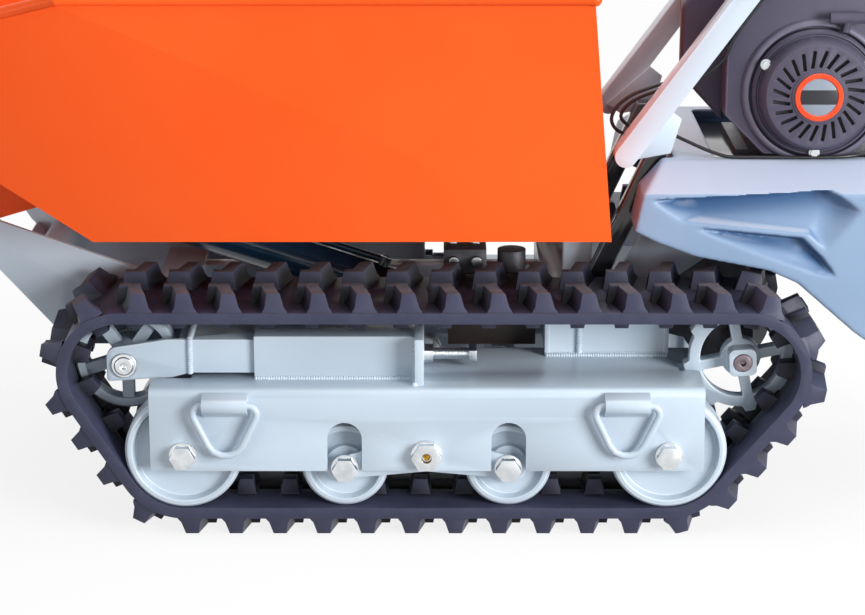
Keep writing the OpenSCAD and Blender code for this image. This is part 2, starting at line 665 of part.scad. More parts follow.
module skip_brackets() color(orange) {
  panel = function (x) skip_z + (skip_front - x) * tan(front_slope);
  difference() {
    union() {
      both() slab(ear_y, ear_y + ear_w) {
        translate([hinge_x, hinge_z]) circle(28);
        polygon([[hinge_x - 26, hinge_z + 8], [hinge_x + 24, hinge_z - 14], [-520, panel(-520) - 22],
          [-520, panel(-520)], [-700, panel(-700)]]);
      }
      both() slab(eye_half + 4, eye_half + 4 + ear_t) {
        translate([eye_x, eye_z]) circle(30);
        polygon([[eye_x - 28, eye_z - 10], [eye_x + 26, eye_z - 15], [eye_x + 62, panel(eye_x + 62)],
          [eye_x - 50, panel(eye_x - 50)]]);
      }
      both() box_at([skip_front + 15, rest_y, skip_z - 20], [skip_rear - 10, rest_y + 26, skip_z]);
    }
    translate([hinge_x, 0, hinge_z]) rod_y(hinge_r + bore_gap, -200, 200);
    translate([eye_x, 0, eye_z]) rod_y(eye_pin_r + eye_play, -60, 60);
  }
}

// Tipping cylinder, drawn along its own axis from the foot pin
module on_cylinder() translate([foot_x, 0, foot_z]) rotate([0, -90 + tip_angle, 0]) children();
module cylinder_barrel() color(blue) {
  on_cylinder() difference() {
    union() {
      translate([0, 0, 20]) cylinder(h = barrel_len - 44, r = barrel_r);
      translate([0, 0, barrel_len - 24]) cylinder(h = 24, r = barrel_r + 1);
      rod_y(24, -foot_half, foot_half);
      for (z = [42, barrel_len - 40]) {
        translate([barrel_r - 6, 0, z]) rotate([0, 90, 0]) cylinder(h = 18, r = 9);
      }
      translate([barrel_r + 7, 0, 42]) cylinder(h = barrel_len - 82, r = 5);
    }
    translate([0, 0, 60]) cylinder(h = barrel_len, r = rod_r + 0.3);
    rod_y(eye_pin_r + bore_gap, -60, 60);
  }
}
module cylinder_rod() {
  color(zinc) on_cylinder() difference() {
    union() {
      translate([0, 0, 190]) cylinder(h = eye_dist - 205, r = rod_r);
      translate([0, 0, eye_dist]) rod_y(22, -eye_half, eye_half);
    }
    translate([0, 0, eye_dist]) rod_y(eye_pin_r + 0.05, -60, 60);
  }
  color(zinc) on_cylinder() translate([0, 0, eye_dist]) {
    rod_y(eye_pin_r, -eye_half - ear_t - 10, eye_half + ear_t + 10);
    both() rod_y(eye_pin_r + eye_play + 5, eye_half + ear_t + 4.5, eye_half + ear_t + 8);
  }
}

// Gearbox with its axle tubes, and the hydraulic tank with pump and valve
module gearbox() color(castgrey) difference() {
  union() {
    slab(-84, 84) {
      translate([sprocket_x, drive_z]) circle(62);
      translate([sprocket_x - 30, drive_z + 92]) circle(46);
      polygon([[sprocket_x - 60, drive_z + 10], [sprocket_x + 60, drive_z + 14],
        [sprocket_x + 14, drive_z + 105], [sprocket_x - 75, drive_z + 96]]);
      polygon([[cross_rear, beam_top], [sprocket_x, drive_z - 40], [sprocket_x, drive_z + 40],
        [cross_rear, cross_top]]);
    }
    both() translate([sprocket_x, 0, drive_z]) rod_y(30, 80, 152);
    for (y = [-58, 0, 58]) slab(y - 4, y + 4) translate([sprocket_x, drive_z]) circle(67);
    let(end = steer_route[len(steer_route) - 1])
      translate([end[0], end[1], drive_z + 110]) cylinder(h = end[2] - 0.9 - drive_z - 110, r = 6);
  }
  translate([sprocket_x, 0, drive_z]) rod_y(shaft_r + bore_gap, -200, 200);
}
// The tank stands against the outer face of the left rail
rail_out = rail_in + rail_w;
unit_top = rail_top + 44;
unit_w = track_inside - rail_out - 16;
module hydraulic_unit() color("#4a3c38") {
  box_at([cross_front - 135, -rail_out - unit_w, beam_top], [cross_front - 11, -rail_out, unit_top]);
  color(castgrey) box_at([cross_front - 141, -rail_out - unit_w + 4, unit_top],
    [cross_front - 81, -rail_out + 25, unit_top + 34]);
  color(castgrey) translate([cross_front - 45, -rail_out - unit_w / 2, unit_top]) cylinder(h = 30, r = 20);
  color(zinc) for (x = [cross_front - 127, cross_front - 95]) {
    translate([x, -rail_out - unit_w - 4, unit_top + 18]) rod_y(7, 0, 10);
    translate([x, -rail_out - 5, unit_top + 32]) cylinder(h = 18, r = 8, $fn = 6);
  }
}

// Rear frame: two side plates that carry the engine deck
module rear_frame() color(paint) {
  both() slab(side_y, side_y + side_t) polygon([[250, cross_top], [cross_rear, cross_top], [480, 398],
    [deck_rear, 440], [deck_rear, deck_z - 8], [deck_front, deck_z - 8], [330, 420]]);
  box_at([deck_front, -150, deck_z - 8], [deck_rear, 150, deck_z]);
}

// Rear cowl: moulded cover with sloped shoulders, two sculpted hollows in each side and a rear skirt
crease_z = cowl_top - 34;
cowl_line = [[275, 405], [285, crease_z - 2], [318, cowl_top], [660, cowl_top], [708, crease_z],
  [735, 300], [722, 212], [650, 212], [580, 262], [500, 332], [460, 350], [358, 370], [305, 390]];
hollow_rim = [[290, 450], [546, 462], [588, 432], [540, 376], [512, 402], [330, 420]];
hollow_floor = [[345, 446, 6], [530, 457, 16], [514, 424, 16], [509, 417, 15], [497, 415, 15], [356, 424, 5]];
scoop_rim = [[346, 413], [504, 397], [532, 370], [556, 338], [520, 346], [400, 388]];
scoop_floor = [[384, 406, 3], [500, 390, 8], [522, 366, 8], [534, 350, 8], [512, 358, 7], [414, 394, 3]];
module cowl_solid(in, side) intersection() {
  slab(-cowl_half + side, cowl_half - side) offset(delta = -in) polygon(cowl_line);
  along_x(200, 800) offset(delta = -in) polygon([[-cowl_half, 100], [-cowl_half, crease_z],
    [-cowl_half + 66, cowl_top], [cowl_half - 66, cowl_top], [cowl_half, crease_z], [cowl_half, 100]]);
}
// Hollow in the right side: a six-cornered mouth just outside the face and a floor that slopes inward
module hollow(mouth, bottom) {
  n = len(mouth);
  fan = n - 2;
  polyhedron(concat([for (p = mouth) [p[0], cowl_half + 1, p[1]]],
      [for (q = bottom) [q[0], cowl_half - q[2], q[1]]]),
    concat([for (i = [1:n - 2]) [fan, (fan + i + 1) % n, (fan + i) % n]],
      [for (i = [0:n - 1]) each [[i, (i + 1) % n, n + i], [(i + 1) % n, n + (i + 1) % n, n + i]]],
      [for (i = [1:n - 2]) [n + fan, n + (fan + i) % n, n + (fan + i + 1) % n]]));
}
module cowl() color(paint) difference() {
  cowl_solid(0, 0);
  both() {
    hollow(hollow_rim, hollow_floor);
    hollow(scoop_rim, scoop_floor);
  }
  cowl_solid(cowl_wall, cowl_side);
  translate([0, 0, -cowl_wall - 4]) intersection() {
    cowl_solid(cowl_wall, cowl_side + 10);
    box_at([200, -cowl_half, 0], [690, cowl_half, 420]);
  }
  box_at([250, -arm_y - 4, 200], [post_x(cowl_top) + post_w / 2 + 4, arm_y + 4, 600]);
  box_at([deck_front - 3, -158, 400], [642, 158, 600]);
}

// Engine: finned block on the deck, fan shroud and recoil cover on the machine's left
shroud_y = -155;
block_y = -88;
block_top = crank_z + 66;
module engine_block() color(black) {
  slab(block_y, 80) polygon([[crank_x - 80, deck_z + 12], [crank_x + 80, deck_z + 12],
    [crank_x + 92, crank_z], [crank_x + 72, block_top], [crank_x - 84, block_top], [crank_x - 92, crank_z]]);
  box_at([crank_x - 98, block_y, deck_z], [crank_x + 98, 92, deck_z + 13]);
  translate([crank_x - 42, 0, crank_z + 44]) rotate([0, -25, 0]) {
    translate([-44, -52, 0]) cube([88, 104, 72]);
    for (k = [0:4]) translate([-58, -64, 10 + k * 12]) cube([116, 128, 4]);
    translate([-50, -58, 70]) cube([100, 116, 12]);
  }
  translate([crank_x, 0, crank_z]) rod_y(34, 79, 104);
  translate([crank_x, 0, crank_z]) rod_y(11, 103, 150);
}
module fan_shroud() color("#3a3a44") difference() {
  slab(shroud_y, block_y) {
    translate([crank_x, crank_z]) circle(102);
    polygon([[crank_x - 123, crank_z - 34], [crank_x - 68, crank_z - 89], [crank_x, crank_z - 92],
      [crank_x + 101, crank_z + 12], [crank_x + 90, crank_z + 118], [crank_x + 72, crank_z + 138],
      [crank_x - 106, crank_z + 138], [crank_x - 123, crank_z + 120]]);
  }
  slab(shroud_y + 6, block_y + 1) {
    translate([crank_x, crank_z]) circle(96);
    polygon([[crank_x - 117, crank_z - 31], [crank_x - 66, crank_z - 82], [crank_x + 94, crank_z + 12],
      [crank_x + 84, crank_z + 116], [crank_x + 68, crank_z + 132], [crank_x - 103, crank_z + 132],
      [crank_x - 117, crank_z + 118]]);
  }
}
module recoil_cover() color("#3a3a44") difference() {
  union() {
    translate([crank_x, shroud_y, crank_z]) rotate([90, 0, 0]) rotate_extrude() polygon([[0, 0],
      [recoil_r, 0], [recoil_r, 12], [recoil_r - 3, 15], [recoil_r - 8, 15], [recoil_r - 12, 30],
      [recoil_r - 17, 36], [38, 38], [36, 40], [0, 40]]);
    for (k = [0:2]) translate([crank_x, shroud_y, crank_z]) rotate([0, k * 120 + 90, 0])
      translate([recoil_r - 6, 0, 0]) rod_y(7, -18, 0);
  }
  for (k = [0:recoil_slots - 1]) translate([crank_x, shroud_y, crank_z])
    rotate([0, k * 360 / recoil_slots, 0]) translate([40, -45, 0])
      rotate([0, 22, 0]) translate([0, 0, -2.5]) cube([24, 14, 5]);
}
module starter_grip() color(black) translate([crank_x + 40, shroud_y - 15, crank_z + recoil_r + 16]) {
  translate([-26, 0, 0]) rotate([0, 90, 0]) cylinder(h = 52, r = 8);
  rod([0, 0, 0], [-5, 0, -19], 6);
}

tank_z = block_top + 80;
module fuel_tank() color(orange) {
  translate([crank_x + 4, -12, tank_z]) linear_extrude(height = 62) polygon(round_rect(236, 196, 34));
  translate([crank_x + 4, -12, tank_z + 62]) linear_extrude(height = 8) polygon(round_rect(206, 166, 26));
  both() box_at([crank_x + 12, 40, block_top], [crank_x + 54, 46, tank_z]);
}
module tank_cap() color(black) translate([crank_x + 30, -12, tank_z + 70.3]) {
  cylinder(h = 14, r = 27);
  for (k = [0:11]) rotate([0, 0, k * 30]) translate([25, -2, 0]) cube([4, 4, 14]);
}
module muffler() color(castgrey) {
  slab(64, 150) translate([crank_x - 122, crank_z + 96]) polygon(round_rect(72, 92, 14));
  translate([crank_x - 180, 118, crank_z + 112]) rotate([0, 90, 0]) cylinder(h = 24, r = 9);
}
module air_cleaner() color(black) {
  slab(-80, 20) translate([crank_x + 128, crank_z + 90]) polygon(round_rect(96, 104, 16));
  box_at([crank_x + 58, -50, block_top], [crank_x + 84, -10, crank_z + 116]);
}

// Controls
post_low = [222, cross_top];
post_lean = 0.455;
function post_x(z) = post_low[0] + (z - post_low[1]) * post_lean;
post_w = 30;
post_top = 508;
module lower_posts() color(black) both() slab(post_y, post_y + post_t) polygon([
  [post_low[0] - post_w / 2, post_low[1]], [post_low[0] + post_w / 2, post_low[1]],
  [post_x(post_top) + post_w / 2, post_top], [post_x(post_top) - post_w / 2, post_top]]);
tube_at = [445, 520];
lever_at = (tube_at[0] + tube_at[1]) / 2;
lever_pos = on_arm(lever_at, bar_r + 26);
module handle_frame() color(paint) {
  top = on_arm(arm_len);
  both() {
    slab(arm_y, arm_y + arm_d) {
      translate(arm_low) circle(arm_w / 2);
      strut(arm_low, top, arm_w);
    }
    slab(post_y + post_t, arm_y) polygon([[283, cowl_top - 5], [330, cowl_top + 4], [344, cowl_top + 52],
      [326, cowl_top + 66], [262, cowl_top + 9]]);
    foot = [top[0] - 14, bar_mid_y, top[1] - 12];
    bend = [top[0] + 82, grip_half, grip_z];
    lead = bend - 28 * unit(bend - foot);
    lag = bend + [28, 0, 0];
    arc = [for (t = [0:0.2:1]) (1 - t) * (1 - t) * lead + 2 * t * (1 - t) * bend + t * t * lag];
    cable(concat([foot], arc, [[bar_end - 8, grip_half, grip_z]]), bar_r, 24);
  }
  for (t = tube_at) translate([on_arm(t)[0], 0, on_arm(t)[1]]) rod_y(bar_r, -arm_y - 4, arm_y + 4);
  difference() {
    slab(-110, 110) strut(on_arm(tube_at[0] - 6, bar_r + 2), on_arm(tube_at[1] + 6, bar_r + 2), 6);
    for (y = [-45, 45]) slab(y - 9, y + 9)
      strut(on_arm(lever_at - 30, bar_r + 2), on_arm(lever_at + 24, bar_r + 2), 12);
  }
  for (y = [-45, 45]) for (s = [-1, 1]) difference() {
    slab(y + s * 13 - 3, y + s * 13 + 3) {
      translate(lever_pos) circle(11);
      strut(on_arm(lever_at, bar_r + 3), lever_pos, 22);
    }
    translate([lever_pos[0], 0, lever_pos[1]]) rod_y(5.2, -90, 90);
  }
  both() for (up = [-1, 1]) lever_clamp(up);
}
// Clamp on the handlebar with two cheeks for a hand lever below (-1) or above (1) the bar
module lever_clamp(up) translate([lever_x, grip_half, grip_z]) {
  difference() {
    rotate([0, 90, 0]) cylinder(h = 16, r = bar_r + 6, center = true);
    rotate([0, 90, 0]) cylinder(h = 20, r = bar_r - 1, center = true);
  }
  both() difference() {
    slab(6.5, 10.5) {
      translate([0, up * (bar_r + 14)]) circle(8);
      polygon([[-8, up * (bar_r - 1)], [8, up * (bar_r - 1)], [8, up * (bar_r + 14)],
        [-8, up * (bar_r + 14)]]);
    }
    translate([0, 0, up * (bar_r + 14)]) rod_y(3.2, -20, 20);
  }
}
module hand_lever(up) translate([lever_x, grip_half, grip_z + up * (bar_r + 14)]) {
  rod_y(3, -13, 13);
  rod_y(7, -6, 6);
  rod([0, 0, 0], [30, 0, up * 20], 5);
  translate([30, 0, up * 20]) sphere(5);
  rod([30, 0, up * 20], [grip_len + 8, 0, up * 26], 5);
  translate([grip_len + 8, 0, up * 26]) sphere(7);
}
module steer_lever() color(black) hand_lever(-1);
module grips() color(black) both() translate([0, grip_half, grip_z]) rotate([0, 90, 0]) difference() {
  union() {
    translate([0, 0, bar_end - grip_len]) cylinder(h = grip_len, r = grip_r);
    translate([0, 0, bar_end - grip_len]) cylinder(h = 5, r = grip_r + 5);
  }
  translate([0, 0, bar_end - grip_len - 1]) cylinder(h = grip_len - 6.8, r = bar_r + 0.05);
}
module drive_lever() color(black) mirror([0, 1, 0]) hand_lever(1);
module throttle_lever() color(black) translate([lever_x, grip_half, grip_z + bar_r + 14]) {
  rod_y(3, -13, 13);
  rod_y(7, -6, 6);
  rod([0, 0, 0], [-22, 0, 44], 4);
  translate([-22, 0, 44]) rod_y(9, -7, 7);
}
// Cables of the left hand levers: down the arm and round a loose loop; one ends at the gearbox,
// the other lies on the cowl and ends at the engine base
module control_cables() color(black) for (route = [steer_route, drive_route]) cable(smoothed(route), cable_r);
module cable(p, r, sides = 8) {
  n = len(p);
  t = [for (i = [0:n - 1]) unit(p[min(i + 1, n - 1)] - p[max(i - 1, 0)])];
  u = carried(t, [0, 1, 0]);
  turn = 360 / sides;
  last = (n - 1) * sides;
  polyhedron([for (i = [0:n - 1]) for (k = [0:sides - 1])
      p[i] + r * (cos(k * turn) * u[i] + sin(k * turn) * cross(t[i], u[i]))],
    concat([for (k = [1:sides - 2]) [0, k, k + 1]],
      [for (i = [0:n - 2]) for (k = [0:sides - 1]) let(a = i * sides + k, b = i * sides + (k + 1) % sides)
        each [[a, a + sides, b], [b, a + sides, b + sides]]],
      [for (k = [1:sides - 2]) [last, last + k + 1, last + k]]));
}
module stick(y) color(black) translate([lever_pos[0], y, lever_pos[1]]) {
  rod_y(5, -18, 18);
  rod_y(9, -9.5, 9.5);
  rod([0, 0, 0], [-30, 0, 118], 6);
  translate([-30, 0, 118]) sphere(17);
}

left_side() track();  // track_left
right_side() track();  // track_right
left_side() track_beam();  // track_beam_left
right_side() track_beam();  // track_beam_right
left_side() tension_box();  // tension_box_left
right_side() tension_box();  // tension_box_right
left_side() yoke();  // yoke_left
right_side() yoke();  // yoke_right
left_side() idler();  // idler_left
right_side() idler();  // idler_right
left_side() tension_bolt();  // tension_bolt_left
right_side() tension_bolt();  // tension_bolt_right
left_side() sprocket();  // sprocket_left
right_side() sprocket();  // sprocket_right
left_side() axle();  // axle_left
right_side() axle();  // axle_right
left_side() end_roller(front_roller_x);  // front_roller_left
right_side() end_roller(front_roller_x);  // front_roller_right
left_side() end_roller(rear_roller_x);  // rear_roller_left
right_side() end_roller(rear_roller_x);  // rear_roller_right
left_side() bogie();  // bogie_left
right_side() bogie();  // bogie_right
left_side() bogie_roller(bogie_x - bogie_reach);  // bogie_roller_a_left
right_side() bogie_roller(bogie_x - bogie_reach);  // bogie_roller_a_right
left_side() bogie_roller(bogie_x + bogie_reach);  // bogie_roller_b_left
right_side() bogie_roller(bogie_x + bogie_reach);  // bogie_roller_b_right
left_side() lashing_ring(ring_x[0]);  // ring_front_left
right_side() lashing_ring(ring_x[0]);  // ring_front_right
left_side() lashing_ring(ring_x[1]);  // ring_rear_left
right_side() lashing_ring(ring_x[1]);  // ring_rear_right
axle_bolts();
control_cables();
main_frame();
snout();
tip_pins();
skip();
skip_brackets();
cylinder_barrel();
cylinder_rod();
gearbox();
hydraulic_unit();
rear_frame();
cowl();
engine_block();
fan_shroud();
recoil_cover();
starter_grip();
fuel_tank();
tank_cap();
muffler();
air_cleaner();
lower_posts();
handle_frame();
grips();
mirror([0, 1, 0]) steer_lever();  // steer_lever_left
steer_lever();  // steer_lever_right
drive_lever();
throttle_lever();
stick(-45);  // gear_lever
stick(45);  // tip_lever
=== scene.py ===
import json
import math
import bpy
import bmesh
import numpy
from mathutils import Matrix, Vector, geometry


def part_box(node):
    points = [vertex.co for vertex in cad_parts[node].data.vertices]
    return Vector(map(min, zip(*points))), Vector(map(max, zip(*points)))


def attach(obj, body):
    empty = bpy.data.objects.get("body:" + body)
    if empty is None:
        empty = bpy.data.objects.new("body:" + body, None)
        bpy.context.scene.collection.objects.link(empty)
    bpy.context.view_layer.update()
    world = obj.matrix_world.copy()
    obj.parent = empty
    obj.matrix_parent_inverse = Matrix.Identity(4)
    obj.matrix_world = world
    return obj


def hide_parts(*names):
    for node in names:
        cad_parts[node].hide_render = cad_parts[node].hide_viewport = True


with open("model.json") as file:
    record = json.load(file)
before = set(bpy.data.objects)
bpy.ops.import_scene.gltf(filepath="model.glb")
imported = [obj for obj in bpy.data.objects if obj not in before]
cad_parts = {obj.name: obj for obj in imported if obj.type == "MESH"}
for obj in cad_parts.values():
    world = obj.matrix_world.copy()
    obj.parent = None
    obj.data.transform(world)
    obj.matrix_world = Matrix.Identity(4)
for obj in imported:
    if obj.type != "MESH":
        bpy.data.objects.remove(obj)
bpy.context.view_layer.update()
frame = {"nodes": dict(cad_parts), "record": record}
bodyOf = {node: body for body, nodes in frame["record"]["behaviour"]["bodies"].items() for node in nodes}
slotOf = {row["node"]: row["material_slot"] for row in frame["record"]["subparts"]}
scene = bpy.context.scene
mm = 0.001
tiny = 1e-6  # keeps a division from failing, and joins points that coincide
sides = {"left": -1, "right": 1}
trackMid = 250  # millimetres from the machine's middle to the middle of a track
white = (1, 1, 1, 1)


# camera, fitted to the level lines and the ground of the photo
view = {"width": 865, "focalPixels": 2475, "sensor": 36, "tilt": 16.5, "place": (0, -3.5041, 1.2636)}
camera = bpy.data.cameras.new("camera")
camera.sensor_width = view["sensor"]
camera.lens = view["focalPixels"] / view["width"] * camera.sensor_width
cameraObject = bpy.data.objects.new("camera", camera)
cameraObject.location = view["place"]
cameraObject.rotation_euler = (math.radians(90 - view["tilt"]), 0, 0)
scene.collection.objects.link(cameraObject)
scene.camera = cameraObject
scene.view_settings.view_transform = "Standard"


# a colour code as linear light
def srgb(code):
    parts = [int(code[i:i + 2], 16) / 255 for i in (1, 3, 5)]
    return tuple(c / 12.92 if c <= 0.04045 else ((c + 0.055) / 1.055) ** 2.4 for c in parts) + (1.0,)


def boxMm(node):
    return [[c / mm for c in corner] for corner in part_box(node)]


def addNode(tree, kind, inputs=None, **settings):
    node = tree.nodes.new(kind)
    for name, value in settings.items():
        setattr(node, name, value)
    for name, value in (inputs or {}).items():
        socket = node.inputs[name]
        if isinstance(value, bpy.types.NodeSocket):
            tree.links.new(value, socket)
        else:
            socket.default_value = value
    return node


def newMaterial(name):
    material = bpy.data.materials.new(name)
    material.use_nodes = True
    material.node_tree.nodes.clear()
    return material, material.node_tree


# what all surfaces share: detail of the noises and the spans of them that count, the heights of a face's
# normal between which painted top light sets in, the openness free of painted shade, the bump's share of the
# grain
shared = {"patch": {"Detail": 3.0, "Roughness": 0.6}, "patchSpan": {"From Min": 0.35, "From Max": 0.7},
          "grain": {"Detail": 4.0, "Roughness": 0.65}, "grainSpan": {"From Min": 0.3, "From Max": 0.7},
          "speck": {"Detail": 6.0, "Roughness": 0.7}, "speckEdge": 0.04,
          "topLightSpan": {"From Min": 0.64, "From Max": 0.86}, "open": 0.95, "shadeRays": 6,
          "bumpShare": 0.4, "coatRough": 0.12}


# One surface: two scales of tone over a base colour, roughness and bump from the fine grain. Sizes are
# millimetres on the object, and a grain finer than about 0.7 mm is drawn that coarse, so that it shows.
def surface(name, look):
    material, tree = newMaterial(name)
    place = addNode(tree, "ShaderNodeTexCoord").outputs["Object"]
    broad = addNode(tree, "ShaderNodeTexNoise", {"Vector": place, "Scale": 1 / mm / look["patchMm"],
                                                 **shared["patch"]})
    fine = addNode(tree, "ShaderNodeTexNoise", {"Vector": place, "Scale": 1 / mm / look["grainMm"],
                                                **shared["grain"]})
    spread = addNode(tree, "ShaderNodeMapRange", {"Value": broad.outputs["Fac"], **shared["patchSpan"]})
    layers = [(spread, look["shade"])]
    if "band" in look:  # level stripe: colour, height and half its width
        tint, middle, half = look["band"]
        height = addNode(tree, "ShaderNodeSeparateXYZ", {0: place}).outputs["Z"]
        within = addNode(tree, "ShaderNodeMath", {0: height, 1: middle * mm, 2: half * mm},
                         operation="COMPARE")
        layers.append((within, tint))
    if "specks" in look:  # scuffs and chips, a thin share of a noise
        specks = look["specks"]
        chips = addNode(tree, "ShaderNodeTexNoise", {"Vector": place, "Scale": 1 / mm / specks["sizeMm"],
                                                     **shared["speck"]})
        edge = addNode(tree, "ShaderNodeMapRange", {"Value": chips.outputs["Fac"], "From Min": specks["from"],
                                                    "From Max": specks["from"] + shared["speckEdge"]})
        layers.append((edge, specks["colour"]))
    if "creviceShade" in look:  # painted shade: darker where the shape closes in: colour, reach, openness at which it is full
        tint, reach, full = look["creviceShade"]
        around = addNode(tree, "ShaderNodeAmbientOcclusion", {"Distance": reach * mm}, only_local=True,
                         samples=shared["shadeRays"])
        paintedShade = addNode(tree, "ShaderNodeMapRange", {"Value": around.outputs["AO"], "From Min": full,
                                                      "From Max": shared["open"], "To Min": 1.0,
                                                      "To Max": 0.0})
        layers.append((paintedShade, tint))
    if "paintedTopLight" in look:  # painted top light: paler where a face looks up: colour and greatest share
        tint, most = look["paintedTopLight"]
        normal = addNode(tree, "ShaderNodeNewGeometry").outputs["Normal"]
        up = addNode(tree, "ShaderNodeSeparateXYZ", {0: normal}).outputs["Z"]
        lie = addNode(tree, "ShaderNodeMapRange", {"Value": up, "To Max": most, **shared["topLightSpan"]})
        layers.append((lie, tint))
    colour = srgb(look["colour"])
    for share, tint in layers:  # a Mix node takes its colours in sockets 6 and 7
        mixed = addNode(tree, "ShaderNodeMix", {0: share.outputs[0], 6: colour, 7: srgb(tint)},
                        data_type="RGBA")
        colour = mixed.outputs[2]
    rough = addNode(tree, "ShaderNodeMapRange", {"Value": fine.outputs["Fac"], "To Min": look["rough"][0],
                                                 "To Max": look["rough"][1], **shared["grainSpan"]})
    bump = addNode(tree, "ShaderNodeBump", {"Height": fine.outputs["Fac"], "Strength": look["bump"],
                                            "Distance": look["grainMm"] * mm * shared["bumpShare"]})
    inputs = {"Base Color": colour, "Roughness": rough.outputs[0], "Normal": bump.outputs[0],
              "Metallic": look.get("metal", 0.0)}
    if "coat" in look:
        inputs.update({"Coat Weight": look["coat"], "Coat Roughness": shared["coatRough"]})
    if "ior" in look:
        inputs["IOR"] = look["ior"]
    if "gloss" in look:
        inputs["Specular IOR Level"] = look["gloss"]
    shader = addNode(tree, "ShaderNodeBsdfPrincipled", inputs)
    addNode(tree, "ShaderNodeOutputMaterial", {"Surface": shader.outputs[0]})
    return material


